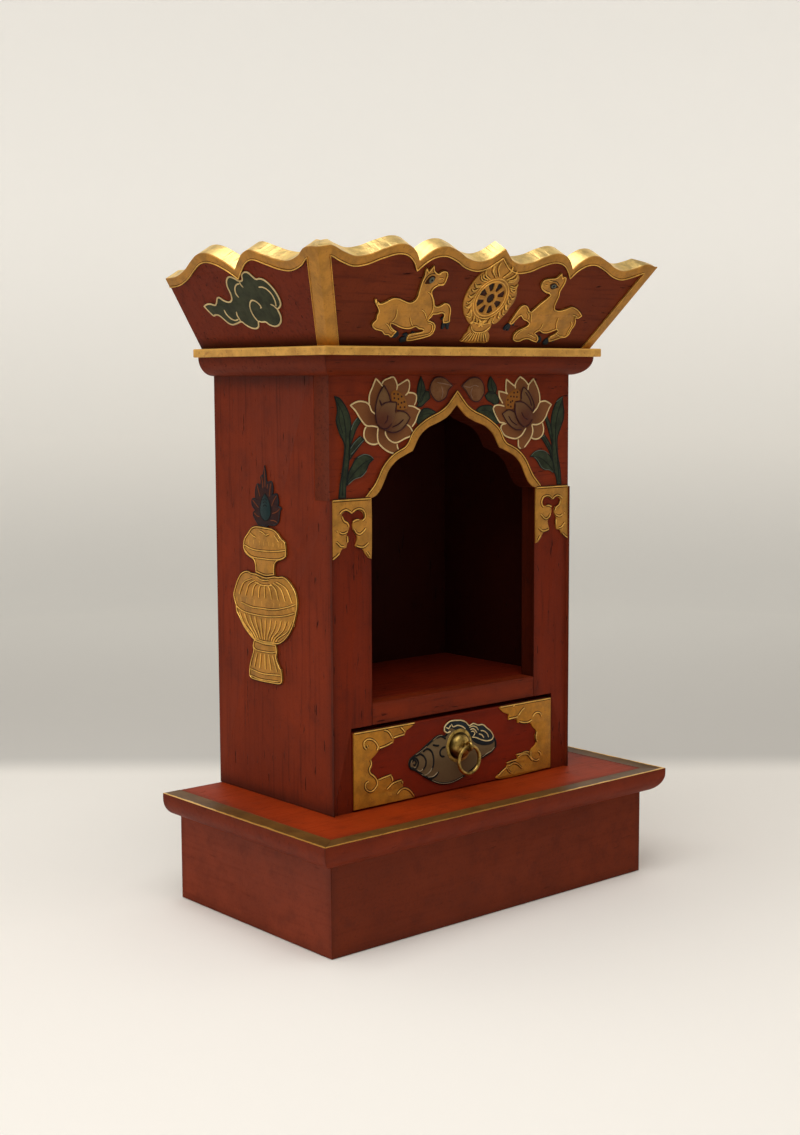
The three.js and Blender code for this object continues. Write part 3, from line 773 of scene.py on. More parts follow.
def crown_board(node, cuts):
    wave = board_wave(node)
    line = [*wave, (wave[-1][0], -12), (wave[0][0], -12)]
    foot = ((0, 0, CROWN_FOOT), (0, 0, -1))
    # The front board and the side boards take different tones of one lacquer: lit and shaded copies, painted
    # in.
    tone, colour = (0.97, (0.435, 0.168, 0.045)) if node == "crown_front" else (0.86, None)
    finish = crown_lacquer(node + "_lacquer", tone, colour)
    piece = slice_board(node + "_board", line, CROWN_THICK / MM, node, finish, [foot, *cuts])
    out = PANELS[node].to_3x3().col[2]
    across = PANELS[node].to_3x3().col[1]
    # The crown's top edges take the pale rim gold: gilding with a painted reflection.
    coat(piece, rim_gold_with_painted_reflection(), lambda normal, middle: abs(normal.dot(out)) < 0.8 and normal.dot(across) > -0.5
         and middle.z > CROWN_FOOT + 0.03)
    coat(piece, inner_lacquer(), lambda normal, middle: normal.dot(out) < -0.9)
    settle(piece, "cabinet", "red_lacquer", node)


def mitre(side, normal):
    """A cut down a crown corner, a little short of it."""
    way = Vector(normal).normalized()
    return Vector((side * CROWN_HALF, CROWN_FRONT, CROWN_FOOT)) - way * JOINT_GAP, way


def rounded_tip(side):
    """A cut that takes the point off the inner top of a crown corner."""
    reach = CORNER_HEIGHT * LEAN - CROWN_THICK * RISE
    top = CROWN_FOOT + CORNER_HEIGHT * RISE + CROWN_THICK * LEAN
    tip = (side * (CROWN_HALF + reach), CROWN_FRONT - reach, top - TIP_DROP)
    return tip, Vector((side * TIP_TILT, -TIP_TILT, 1)).normalized()


def crown_boards():
    left_tip, right_tip = rounded_tip(-1), rounded_tip(1)
    crown_board("crown_front", [mitre(-1, (-1, 1, 0)), mitre(1, (1, 1, 0)), left_tip, right_tip])
    back = ((0, high("abacus").y, 0), (0, 1, 0))
    crown_board("crown_left", [mitre(-1, (1, -1, 0)), back, left_tip])
    crown_board("crown_right", [mitre(1, (-1, -1, 0)), back, right_tip])


def board_lacquer(node, grain, tone=1.0, dark=(), colour=None, lines=FULL_GRAIN):
    return finish_named(node + "_lacquer", lacquer, grain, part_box(node), tone, colour, dark, lines)


def whole_box(*nodes):
    """The corners of the box round several nodes."""
    boxes = [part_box(node) for node in nodes]
    return (tuple(min(lowest[i] for lowest, highest in boxes) for i in range(3)),
            tuple(max(highest[i] for lowest, highest in boxes) for i in range(3)))


def arch_board():
    width, inner = HALF / MM, NICHE_HALF / MM
    foot, top = ARCH_FOOT / MM, CABINET_TOP / MM
    opening = [(-inner, foot), *both_ways(half_line(ARCH)), (inner, foot)]
    line = [(-width, foot), *opening, (width, foot), (width, top), (-width, top)]
    finish = board_lacquer("arch_board", "x")
    piece = slice_board("arch_board_carved", line, (ARCH_BACK - FRONT) / MM, "front", finish, (), 0.4)
    coat(piece, inner_lacquer(), lambda normal, middle: normal.y > 0.9)
    coat(piece, jamb_painted_shade(), lambda normal, middle: abs(normal.y) < 0.5
         and abs(middle.x) < NICHE_HALF + 0.001 and middle.z < CABINET_TOP - 0.001)
    end_grain = finish_named("end_grain", lacquer, "x", None, 0.62, (0.50, 0.195, 0.085))
    coat(piece, end_grain, lambda normal, middle: abs(normal.x) > 0.9 and abs(middle.x) > HALF - 0.001)
    settle(piece, "cabinet", "red_lacquer", "arch_board")


def stile(side):
    """An upright board beside the niche and the drawer, wider above the drawer than beside it."""
    node = sided("stile", side)
    inner, outer = NICHE_HALF / MM, HALF / MM
    foot, step, top = PLINTH_TOP / MM, DRAWER_TOP / MM, ARCH_FOOT / MM
    line = [(inner, step), (OPENING_HALF, step), (OPENING_HALF, foot),
            (outer, foot), (outer, top), (inner, top)]
    line = [(side * x, z) for x, z in line]
    thick = (STILE_BACK - FRONT) / MM
    joint = ((side * (HALF - JOINT_GAP), FRONT, 0), (side * thick, HALF / MM - SIDE_INNER / MM, 0))
    finish = board_lacquer(node, "z", 0.84, colour=(0.465, 0.14, 0.026))
    piece = slice_board(node + "_board", line, thick, "front", finish, [joint], 0.4)
    coat(piece, inner_lacquer(), lambda normal, middle: normal.y > 0.9)
    coat(piece, jamb_painted_shade(), lambda normal, middle: normal.x * side < -0.5)
    settle(piece, "cabinet", "red_lacquer", node)


def side_board(side):
    """A flank of the cabinet, notched at its top for the arch board."""
    node = sided("side", side)
    front, back = FRONT / MM - 2, BACK / MM
    foot, top = PLINTH_TOP / MM, CABINET_TOP / MM
    lap, notch = (ARCH_BACK + JOINT_GAP) / MM, (ARCH_FOOT + JOINT_GAP) / MM
    line = [(front, foot), (back, foot), (back, top), (lap, top), (lap, notch), (front, notch)]
    line = [(side * y, z) for y, z in line]
    thick = (HALF - SIDE_INNER) / MM
    joint = ((side * (HALF - JOINT_GAP), FRONT + JOINT_GAP, 0),
             (-side * (STILE_BACK - FRONT), SIDE_INNER - HALF, 0))
    # Painted shade with smoke stain on the flank, just above the plinth and just under the cornice.
    dark = [(2, PLINTH_TOP, PLINTH_TOP + 0.012, 0.5), (2, CORNICE_FOOT, CORNICE_FOOT - 0.014, 0.55)]
    finish = board_lacquer(node, "z", 1.0, dark)
    piece = slice_board(node + "_board", line, thick, node.replace("side_", ""), finish, [joint], 0.4)
    coat(piece, inner_lacquer(), lambda normal, middle: normal.x * side < -0.9)
    settle(piece, "cabinet", "red_lacquer", node)


# ---- mouldings

# A bevel this share of the strip's thickness, so that no sliver of a face is left behind it.
NEARLY_ROUND = 0.985


def moulding(name, face, start, end, foot, top, out, radius, finish, cuts):
    """A strip along a face with its lower outer edge worked to a quarter round, mitred by the cuts."""
    piece = box_piece(name, (start, foot, 0), (end, top, radius), finish)
    round_edges(piece, radius * NEARLY_ROUND, 12, lambda co: co.y < foot + 1e-5 and co.z > radius - 1e-5)
    round_edges(piece, 0.0004, 2, lambda co: co.y > top - 1e-5 and co.z > radius - 1e-5)
    piece.data.transform(PANELS[face] @ Matrix.Diagonal((1, 1, out / radius, 1)))
    for point, normal in cuts:
        cut(piece, point, normal)
    mend(piece)
    return piece


def mitred(side, half, front, out_side, out_front, towards_front):
    """The cut of a mitred strip: the strip on the front side of it, or the one on the flank, is kept."""
    way = Vector((side * out_front, out_side, 0)).normalized() * (1 if towards_front else -1)
    return Vector((side * half, front, 0)) - way * JOINT_GAP, way


def strips(prefix, faces, half, front, back, foot, top, outs, radius, finish):
    """The front and side strips of a moulding that runs round three sides."""
    out_side, out_front = outs
    reach = half + out_side + 0.005
    made = []
    for face, side in zip(faces, (0, -1, 1)):
        node = prefix + {0: "_front", -1: "_left", 1: "_right"}[side]
        if side == 0:
            cuts = [mitred(s, half, front, out_side, out_front, True) for s in (-1, 1)]
            piece = moulding(node + "_run", face, -reach, reach, foot, top, out_front, radius, finish, cuts)
        else:
            cuts = [mitred(side, half, front, out_side, out_front, False)]
            ends = sorted((side * back, side * (front - out_front - 0.005)))
            piece = moulding(node + "_run", face, *ends, foot, top, out_side, radius, finish, cuts)
        made.append((node, piece))
    return made


def plinth_border_finish(name):
    """Toned gold on top of the plinth's edge, with brighter gilding along the arris lifted as a painted
    highlight.
    """
    look = Finish(name)
    x, y, _ = look.axes()
    flank = PLINTH_HALF + BORDER_SIDE - look.maths("ABSOLUTE", x)
    rim = look.smaller(flank, y - (PLINTH_FRONT - BORDER_FRONT))
    ragged = rim + look.noise(0.009, 4, 0.7) * 0.0044 - 0.0022
    # The bright line along the arris: gilding with a painted highlight.
    line = 1 - look.fade(ragged, 0.0013, 0.0023)
    patches = look.noise(0.008, 4, 0.65, shift=0.2)
    specks = look.fade(look.noise(0.0014, 3, 0.6), 0.58, 0.72)
    base = look.blend(look.fade(patches, 0.3, 0.7), paint(colours().olive, 0.7), paint(colours().olive, 1.15))
    base = look.blend(specks * 0.5, base, paint(colours().lacquer_dark))
    base = look.blend(line * (1 - specks * 0.4), base, paint(colours().highlit_gold))
    return look.finish(base, 0.5 - line * 0.15, line * 0.6 + 0.10, patches, 0.0002, shine=0.15)


def plinth_board(node, face, grain):
    """One wall of the plinth; its front corners are mitred."""
    lowest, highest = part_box(node)
    lowest.y = PLINTH_FRONT
    thick = (high("plinth_front").y - PLINTH_FRONT) / MM
    foot, top = lowest.z / MM, highest.z / MM
    # The front board is painted darker and the side boards lighter, as shaded and lit copies of one lacquer.
    if face == "plinth_front":
        ends = (-PLINTH_HALF / MM, PLINTH_HALF / MM)
        corners, way = (-1, 1), 1
        tone, colour = 0.87, (0.455, 0.168, 0.055)
    else:
        corner = -1 if face == "plinth_left" else 1
        ends = sorted((corner * PLINTH_FRONT / MM, corner * highest.y / MM))
        corners, way = (corner,), -1
        tone, colour = 1.08, (0.48, 0.188, 0.095)
    line = [(ends[0], foot), (ends[1], foot), (ends[1], top), (ends[0], top)]
    cuts = [((side * PLINTH_HALF, PLINTH_FRONT, 0), Vector((way * side, way, 0)).normalized())
            for side in corners]
    finish = finish_named(node + "_lacquer", lacquer, grain, (lowest, highest), tone, colour, (), 0.14)
    piece = slice_board(node + "_board", line, thick, face, finish, cuts, 0.5)
    settle(piece, "cabinet", "red_lacquer", node)


def plinth():
    plinth_board("plinth_front", "plinth_front", "x")
    plinth_board("plinth_side_left", "plinth_left", "y")
    plinth_board("plinth_side_right", "plinth_right", "y")
    # The plinth's top is a lighter orange red: partly its own tone, partly painted light on an upward face.
    dress("plinth_top", board_lacquer("plinth_top", "x", colour=(0.58, 0.185, 0.022), lines=0.18))
    dress("plinth_back", finish_named("bare_back", lacquer, "x", None, 0.8, colours().bare))
    faces = ("plinth_front", "plinth_left", "plinth_right")
    radius = PLINTH_TOP - BORDER_FOOT - BORDER_FLAT
    box = whole_box("plinth_moulding_left", "plinth_moulding_right", "plinth_moulding_front")
    finish = finish_named("border_lacquer", lacquer, "x", box, 0.97, None, (), 0.2)
    made = strips("plinth_moulding", faces, PLINTH_HALF, PLINTH_FRONT, PLINTH_BACK, BORDER_FOOT, PLINTH_TOP,
                  (BORDER_SIDE, BORDER_FRONT), radius, finish)
    border = finish_named("plinth_border", plinth_border_finish)
    for node, piece in made:
        coat(piece, border, lambda normal, middle: normal.z > 0.7)
        settle(piece, "cabinet", "red_lacquer", node)


def cornice():
    box = whole_box("cornice_left", "cornice_right", "cornice_front")
    finish = finish_named("cornice_lacquer", lacquer, "x", box, 0.89, (0.455, 0.157, 0.038))
    made = strips("cornice", ("front", "left", "right"), HALF, FRONT, BACK, CORNICE_FOOT, CABINET_TOP,
                  (CORNICE_OUT, CORNICE_OUT), CABINET_TOP - CORNICE_FOOT, finish)
    for node, piece in made:
        settle(piece, "cabinet", "red_lacquer", node)


def abacus_finish(name):
    """Gold on the shelf's edges, lifted as painted reflection, with a painted highlight along their top;
    smoke-darkened lacquer on its top inside the crown.
    """
    look = Finish(name)
    x, y, z = look.axes()
    patches = look.noise(0.007, 4, 0.65)
    specks = look.fade(look.noise(0.0013, 3, 0.6, shift=0.6), 0.56, 0.7)
    # A painted highlight along the top of the gilt edge.
    bright = look.fade(z + patches * 0.0012, CROWN_FOOT - 0.0008, CROWN_FOOT - 0.0002)
    # The edge's gold is lifted as a painted reflection.
    base = look.blend(look.fade(patches, 0.35, 0.7), paint((0.80, 0.59, 0.28)), paint((0.93, 0.72, 0.36)))
    base = look.blend(specks * 0.45, base, paint((0.55, 0.22, 0.10)))
    base = look.blend(bright * 0.8, base, paint(colours().highlit_gold))
    inside = look.smaller(CROWN_HALF - 0.004 - look.maths("ABSOLUTE", x), y - CROWN_FRONT - 0.004)
    hidden = look.fade(inside, 0.0, 0.002) * look.fade(z, CROWN_FOOT - 0.001, CROWN_FOOT - 0.0003)
    base = look.blend(hidden, base, paint(colours().lacquer_dark, 0.5))
    rough = 0.38 + patches * 0.15 + hidden * 0.2
    return look.finish(base, rough, 0.6 - hidden * 0.6, specks + patches, 0.00015)


def cabinet_boards():
    dress("rail", board_lacquer("rail", "x"))
    dress("niche_floor", finish_named("niche_floor_lacquer", lacquer, "x", None, 0.80, (0.47, 0.12, 0.02)))
    dress("back_panel", inner_lacquer())
    dress("abacus", finish_named("abacus_gold", abacus_finish))
    for side in (-1, 1):
        side_board(side)
        stile(side)
    arch_board()


# ---- drawer and its pull

# Rounding of the drawer front's edges.
DRAWER_ROUND = 0.0010


def drawer_boards():
    lowest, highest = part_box("drawer_front")
    lowest.y = FRONT
    finish = board_lacquer("drawer_front", "x", 1.03, colour=(0.465, 0.112, 0.008), lines=0.25)
    piece = box_piece("drawer_front_board", lowest, highest, finish)
    round_edges(piece, DRAWER_ROUND, 3, lambda co: True)
    coat(piece, finish_named("bare_wood", lacquer, "x", None, 0.9, colours().bare),
         lambda normal, middle: normal.y > 0.9)
    settle(piece, "drawer", "red_lacquer", "drawer_front")
    for node in ("drawer_side_left", "drawer_side_right", "drawer_back", "drawer_bottom"):
        grain = "y" if "side" in node else "x"
        dress(node, finish_named("bare_" + grain, lacquer, grain, None, 1.0, (0.42, 0.24, 0.15)))


# The dome of the boss beside its flange's radius, the flange's thickness, and the eye that holds the ring.
DOME_SHARE = 0.79
FLANGE = 0.0010
EYE_RADIUS = 0.0027
EYE_WIRE = 0.00105
# How far the dome is sunk into the flange, and the neck that joins the eye to the dome.
DOME_SINK = 0.0006
NECK_RADIUS = 0.0014
NECK_LENGTH = 0.0030
NECK_BEHIND_EYE = 0.0042
NECK_BELOW_EYE = 0.0004


def pull():
    finish = finish_named("aged_brass", brass_finish)
    lowest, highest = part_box("ring_boss")
    middle = (lowest + highest) / 2
    radius = (highest.x - lowest.x) / 2
    height = highest.y - lowest.y
    clear_selection()
    bpy.ops.mesh.primitive_uv_sphere_add(segments=48, ring_count=24, radius=1)
    dome = bpy.context.object
    place = Matrix.Translation((middle.x, highest.y - DOME_SINK, middle.z))
    wide = radius * DOME_SHARE
    dome.data.transform(place @ Matrix.Diagonal((wide, height - DOME_SINK, wide, 1)))
    # The dome and flange take brass darkened with soot and painted shade at the dome's foot and eye.
    blackened_shaded_brass = finish_named("boss_brass", brass_finish, (middle.x, middle.z, wide))
    dome.data.materials.append(blackened_shaded_brass)
    cut(dome, (0, highest.y - DOME_SINK / 2, 0), (0, 1, 0))
    flange = round_bar(radius, FLANGE, (middle.x, highest.y - FLANGE / 2, middle.z), blackened_shaded_brass)
    boss = joined("pull_boss", [dome, flange], "drawer")
    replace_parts(boss, "ring_boss")
    lowest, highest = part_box("ring_eye")
    reach = EYE_RADIUS + EYE_WIRE
    eye_middle = Vector((middle.x, lowest.y + reach, highest.z - reach))
    eye = hoop(EYE_RADIUS, EYE_WIRE, eye_middle, Matrix.Rotation(math.pi / 2, 4, "Y"), finish)
    neck_middle = (middle.x, eye_middle.y + NECK_BEHIND_EYE, eye_middle.z - NECK_BELOW_EYE)
    neck = round_bar(NECK_RADIUS, NECK_LENGTH, neck_middle, finish)
    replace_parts(joined("pull_eye", [eye, neck], "drawer"), "ring_eye")
    lowest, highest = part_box("ring")
    wire = (highest.y - lowest.y) / 2
    ring_radius = (highest.x - lowest.x) / 2 - wire
    ring = hoop(ring_radius, wire, (lowest + highest) / 2, Matrix.Rotation(math.pi / 2, 4, "X"), finish)
    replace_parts(joined("pull_ring", [ring], "ring"), "ring")


def hoop(radius, wire, middle, turn, finish):
    clear_selection()
    bpy.ops.mesh.primitive_torus_add(
        major_radius=radius, minor_radius=wire, major_segments=64, minor_segments=16)
    piece = bpy.context.object
    piece.data.transform(Matrix.Translation(middle) @ turn)
    piece.data.materials.append(finish)
    return piece


def round_bar(radius, length, middle, finish):
    """A short round bar along Y with softened ends."""
    clear_selection()
    bpy.ops.mesh.primitive_cylinder_add(vertices=48, radius=radius, depth=length)
    piece = bpy.context.object
    round_edges(piece, min(radius, length) * 0.3, 3, lambda co: True)
    piece.data.transform(Matrix.Translation(middle) @ Matrix.Rotation(math.pi / 2, 4, "X"))
    piece.data.materials.append(finish)
    return piece


# ---- gilt bands

# How far the gilt bands reach past a crown corner, in millimetres, so that they meet in one arris.
BAND_LAP = 0.9
# How far the corner bands' foot and inner edge stand above the shelf, in millimetres.
BAND_FOOT = 0.4
BAND_EDGE_FOOT = 0.6


def band_shift(share):
    """The corner band's width along the face, as a share of the width set in the panel."""
    return share * sizes().corner_band * math.sqrt(1 + LEAN * LEAN) / MM


def crown_band_front():
    height = sizes().gilt_height / MM
    drop = sizes().wave_band / MM
    shift = band_shift(0.9)
    foot = CROWN_HALF / MM
    wave = [p for p in board_wave("crown_front") if abs(p[0]) < foot + p[1] * LEAN - 0.6]
    under = [p for p in lowered(board_wave("crown_front"), drop) if abs(p[0]) < foot - shift + p[1] * LEAN]
    left = [corner_line(foot, -1, BAND_FOOT, -BAND_LAP), corner_line(foot, -1, wave[0][1], -BAND_LAP)]
    right = [corner_line(foot, 1, wave[-1][1], -BAND_LAP), corner_line(foot, 1, BAND_FOOT, -BAND_LAP)]
    line = [*left, *wave, *right,
            corner_line(foot, 1, BAND_FOOT, shift), *reversed(under), corner_line(foot, -1, BAND_FOOT, shift)]
    band = plate("band", [line], height, "crown_front", gold(), 0.25)
    inner = [corner_line(foot, -1, BAND_EDGE_FOOT, shift), *under,
             corner_line(foot, 1, BAND_EDGE_FOOT, shift)]
    return band, inner


def crown_band_side(face):
    height = sizes().gilt_height / MM
    drop = sizes().wave_band / MM
    shift = band_shift(1.1)
    foot = -CROWN_FRONT / MM
    back = -high("abacus").y / MM + 0.3
    full = soft(SIDE_WAVE)
    wave = [p for p in full if back < p[0] < foot + p[1] * LEAN - 0.6]
    under = [p for p in lowered(full, drop) if back < p[0] < foot - shift + p[1] * LEAN]
    line = [corner_line(foot, 1, BAND_FOOT, -BAND_LAP), corner_line(foot, 1, wave[0][1], -BAND_LAP), *wave,
            Vector((back, wave[-1][1])), Vector((back, under[-1][1])), *reversed(under),
            corner_line(foot, 1, BAND_FOOT, shift)]
    inner = [corner_line(foot, 1, BAND_EDGE_FOOT, shift), *under, Vector((back, under[-1][1]))]
    if face == "crown_right":
        line = flipped(line)
        inner = flipped(inner)
    return plate("band", [line], height, face, gold(), 0.25), inner


def crown_bands():
    width = sizes().line_width / MM
    tall = sizes().line_height / MM + 0.2
    base = sizes().gilt_height / MM - 0.1
    for face in ("crown_front", "crown_left", "crown_right"):
        band, inner = crown_band_front() if face == "crown_front" else crown_band_side(face)
        line = contour("band_line", [inner], width, tall, base, face, highlit_gold(), seam=0.6)
        joined(face + "_gilt_band", [band, *line], "cabinet")


def arch_band():
    height = sizes().gilt_height / MM
    inner = half_line(ARCH)
    outer = half_line(ARCH_BAND)
    foot = [(NICHE_HALF / MM + 0.4, ARCH_FOOT / MM + 0.5), (outer[-1][0], ARCH_FOOT / MM + 0.5)]
    line = [*both_ways(lowered(inner, -0.4)), *foot, *reversed(both_ways(outer)), *reversed(flipped(foot))]
    band = plate("band", [line], height, "front", gold(), 0.25)
    width = sizes().line_width / MM
    edge = contour("band_line", [both_ways(outer)], width, 0.7, height - 0.1, "front", highlit_gold())
    joined("arch_gilt_band", [band, *edge], "cabinet")


# ---- the deer

DEER_LEFT = [
    (-97, 35), (-95, 32.3), (-91, 31.8), (-87, 33.5), (-83, 35.8), (-78, 36), (-73, 34.6), (-68, 33.3),
    (-64.5, 34), (-62.8, 36.5), (-63, 41), (-63.5, 48), (-63.2, 53), (-64, 57.5), (-63, 58.3),
    (-60.8, 55.5), (-59.3, 58.5), (-58, 60.5), (-56.3, 57.2), (-54.5, 55.8), (-51.5, 54.8), (-49.5, 56.3),
    (-47, 56.8), (-44.5, 56.2), (-43.2, 54), (-43, 50.5), (-43.2, 48), (-44.5, 46.5), (-48, 46),
    (-50.5, 44.5), (-51.8, 42), (-50, 39), (-47, 35.5), (-45, 32), (-43, 31), (-40, 31.5), (-36.5, 33.6),
    (-33.5, 33.3), (-30.5, 31), (-28.8, 28), (-27.5, 23.5), (-26, 20), (-29, 19), (-31.6, 18.8),
    (-33.2, 21.5), (-33.5, 25), (-36, 26.2), (-40, 25.3), (-43.5, 25), (-44, 23.5), (-46, 20.8), (-43, 20),
    (-40, 19), (-37.5, 16.5), (-37, 12.5), (-38.5, 9.5), (-42, 8), (-48, 6.5), (-54, 5.2), (-58, 4.8),
    (-59, 7), (-58.2, 9.6), (-54, 11), (-50, 11.4), (-46.5, 12.5), (-47.5, 13.6), (-51, 14), (-55, 15.5),
    (-58, 14.3), (-63, 13.8), (-68, 14.8), (-73, 16.5), (-77, 17.8), (-76.2, 16), (-72, 13), (-69.5, 12),
    (-71, 9.8), (-71.8, 8), (-73, 7.5), (-75.5, 9), (-79, 9.3), (-82, 11.5), (-85, 12.3), (-88.5, 13),
    (-92, 15.5), (-92.3, 17.8), (-90.5, 20), (-91, 23), (-90.8, 26), (-93, 29), (-95.5, 31.5)]
DEER_LEFT_HOOVES = [
    [(-32, 19), (-29.5, 19.4), (-28.6, 16.5), (-29.4, 13.9), (-30.8, 14)],
    [(-29.2, 19.4), (-26, 20.2), (-25, 17.2), (-24.4, 14.2), (-25.8, 13.9), (-27.8, 16.4)],
    [(-34.8, 22.4), (-33.4, 23.4), (-31.9, 22.4), (-32.6, 20.8), (-34.2, 21)],
    [(-58.4, 8), (-59.4, 10.8), (-61.6, 10.4), (-63, 9), (-60.6, 8), (-63.4, 7), (-64.2, 5.2), (-62.6, 3.6),
     (-59.8, 3.9), (-58.3, 5.4)], [(-56, 10.6), (-55.4, 12), (-53.6, 11.6), (-53.2, 10.2), (-54.6, 9.4)],
    [(-70.8, 11.8), (-69, 12), (-66.8, 10.6), (-66.4, 8.4), (-68.4, 6.9), (-71, 7.1), (-72, 8.6),
     (-70, 9.3)], [(-77.4, 9.8), (-76, 10.2), (-75.3, 9), (-76.3, 8.1)]]
DEER_LEFT_LINES = [
    [(-55.4, 41.6), (-52.6, 40.2), (-48.8, 36.4), (-46.2, 32), (-45, 28), (-45.6, 24.6), (-47, 21.8)],
    [(-55, 28.2), (-51.8, 26.6), (-49.4, 24.2), (-47.4, 21.6)],
    [(-76.4, 28.6), (-75, 25), (-74.8, 21.6), (-76.6, 18.4)], [(-62.2, 22.6), (-60.4, 19.4), (-57.4, 16.2)],
    [(-81.4, 17.6), (-78.6, 16.2), (-75, 13), (-71.4, 11.4)], [(-94.6, 33), (-91.6, 31.4), (-88.6, 32.2)],
    [(-45, 18.6), (-41, 17.6), (-39.2, 14.6), (-39.8, 11.2), (-44, 9.8), (-50, 8.8), (-56, 7.4)],
    [(-50, 50.8), (-47.6, 51.6), (-45.4, 50.8)], [(-49.6, 47.6), (-47, 47), (-44.6, 47.8)],
    [(-54.6, 55), (-51.6, 54), (-49, 55)]]
DEER_LEFT_EYE = [
    (-60.6, 46.8), (-59.8, 50.2), (-57.8, 52.8), (-55, 53.4), (-52.9, 52.2), (-52.9, 50), (-54.2, 47.8),
    (-57, 46.8)]
DEER_RIGHT = [
    (99, 27.5), (95, 30.5), (90, 33), (85, 34.2), (80, 32.5), (75, 31), (71.5, 31), (69, 31.8), (67.5, 34),
    (67.3, 38), (67.5, 42), (66.5, 46), (67.5, 50), (68, 53), (67, 56.5), (65.5, 57.3), (63.5, 56),
    (61, 59.8), (59, 57), (57.5, 56), (53, 55.3), (49, 54.8), (47, 54), (45.5, 52), (45.8, 49.5),
    (47, 47.5), (50, 45.5), (54, 44), (57, 43.5), (58.5, 42.5), (56, 39.5), (52, 35.5), (49, 32),
    (47, 29.5), (44.5, 30), (42, 32.5), (39, 34.2), (36, 34), (33.5, 31.5), (31.5, 26), (29.5, 20),
    (31.6, 19), (33.2, 20), (34.6, 22.5), (36.5, 25), (38, 26), (42, 23), (46, 21.8), (49, 20.2), (48, 18),
    (44, 16), (40.5, 14), (38.5, 10.5), (39.5, 7.5), (42.5, 5.8), (46.5, 5.8), (50, 7.5), (54, 7.8),
    (59, 6.3), (63.5, 5.3), (64.4, 7), (63.2, 9.8), (61, 11.4), (58.6, 12.6), (60, 13.7), (62, 14.5),
    (66, 13), (70, 12.8), (75, 14.3), (79, 16), (80.6, 14.4), (79, 12.4), (75.4, 10.4), (74.4, 8.6),
    (76, 6), (78.5, 6.5), (82, 7.6), (86, 9), (91, 9.8), (93.5, 12), (94, 16), (95.5, 20), (94.5, 23.5),
    (93, 25.3), (95.5, 25), (97.6, 26)]
DEER_RIGHT_HOOVES = [
    [(29.2, 19.4), (31.6, 19.2), (32.4, 17), (32.2, 14.2), (30.4, 13.8), (29.8, 16), (28.4, 14),
     (26.6, 14.6), (27.4, 17.6)], [(33.6, 20.4), (35.2, 20), (35.6, 18), (34.2, 17.8), (33.4, 19)],
    [(63.6, 9.6), (65.4, 10.4), (67.6, 8.6), (68.2, 5.6), (66.2, 4.8), (63.8, 5.6)],
    [(60.6, 11.6), (62.2, 11.4), (63, 10), (61.4, 9.8)],
    [(75.2, 7.8), (74.2, 9), (72.2, 7.6), (70.8, 5), (73, 3), (76, 3.8), (76.2, 5.8)],
    [(79, 6.6), (81, 7.2), (82, 6.4), (80.4, 5.4)]]
DEER_RIGHT_LINES = [
    [(47.4, 28.6), (48.4, 25), (50.2, 21.4)], [(76, 25.4), (76, 21.6), (77.4, 18.2), (79.6, 15.4)],
    [(88.6, 27.8), (91.6, 27.4), (95.6, 25.8)], [(42.6, 29), (45.4, 26.6), (46.6, 23.4)],
    [(50, 16.4), (44.6, 14.4), (41.4, 11), (41.6, 8.6)], [(52, 11.6), (55.6, 10.8), (60.4, 9)],
    [(90, 23), (92.6, 19.4), (91.6, 14.6), (91.6, 11.4)], [(63, 20.6), (62.6, 17.4), (61.4, 15)],
    [(80, 12.6), (84, 10.8), (89, 10.8)], [(50.4, 54), (53.2, 53.2), (55.4, 53.4)],
    [(48.8, 50.6), (50.6, 49.9), (52.2, 50.2)], [(48.2, 47), (50.4, 46.2), (53.2, 45.2), (57.2, 44.6)]]
DEER_RIGHT_EYE = [
    (53.8, 50.6), (56, 51.9), (59, 51.9), (62, 50.2), (64, 48.8), (61, 47.7), (58, 46.8), (55.6, 47.8)]


def disc(middle, wide, tall, pieces=20):
    angles = [math.tau * i / pieces for i in range(pieces)]
    return [(middle[0] + wide * math.cos(a), middle[1] + tall * math.sin(a)) for a in angles]


def figure(name, body, lines, face, height):
    """A gilded figure with a contour line round its edge and finer lines within."""
    width = sizes().line_width / MM
    tall = sizes().line_height / MM
    base = height - 0.1
    edge = soft(body, True)
    rim = [inset(edge, width * 0.45)]
    made = [plate(name, [edge], height, face, gold(), 0.45)]
    made += contour(name + "_edge", rim, width, tall + 0.1, base, face, highlit_gold(), True, 0.6)
    inner = soft_lines(lines)
    return made + contour(name + "_lines", inner, width * 0.85, tall, base, face, highlit_gold(), seam=0.6)


def deer(name, body, hooves, lines, eye, iris, pupil, lids):
    height = sizes().gilt_height / MM
    face = "crown_front"
    made = figure(name, body, lines, face, height)
    made.append(plate("hooves", [soft(h, True, step=0.5) for h in hooves], height + 0.15, face, navy(), 0.35))
    made.append(plate("eye", [inset(soft(eye, True, step=0.5), 0.25)], height + 0.25, face, dark_brown(), 0.15))
    grey = finish_named("eye_grey", painted, (0.36, 0.37, 0.32), rough=0.35)
    made.append(plate("iris", [disc(*iris)], height + 0.4, face, grey, 0.15))
    made.append(plate("pupil", [disc(*pupil)], height + 0.5, face, ink(), 0.1))
    made.append(ridge("lids", soft_lines(lids, 0.5), 0.6, 0.3, height, face, ink()))
    joined(name, made, "cabinet")


def both_deer():
    deer("deer_left", DEER_LEFT, DEER_LEFT_HOOVES, DEER_LEFT_LINES, DEER_LEFT_EYE,
         ((-55.6, 50), 2.1, 2.2), ((-55.4, 49.8), 0.8, 0.8),
         [[(-61.8, 47.6), (-60.8, 51.4), (-58.4, 54), (-54.6, 54.6)]])
    deer("deer_right", DEER_RIGHT, DEER_RIGHT_HOOVES, DEER_RIGHT_LINES, DEER_RIGHT_EYE,
         ((58.4, 49.5), 2.5, 1.5), ((58.2, 49.5), 0.9, 0.8),
         [[(54, 52.8), (57.6, 53.4), (60.8, 52.4), (63.6, 50.2)]])


# ---- the wheel on its lotus

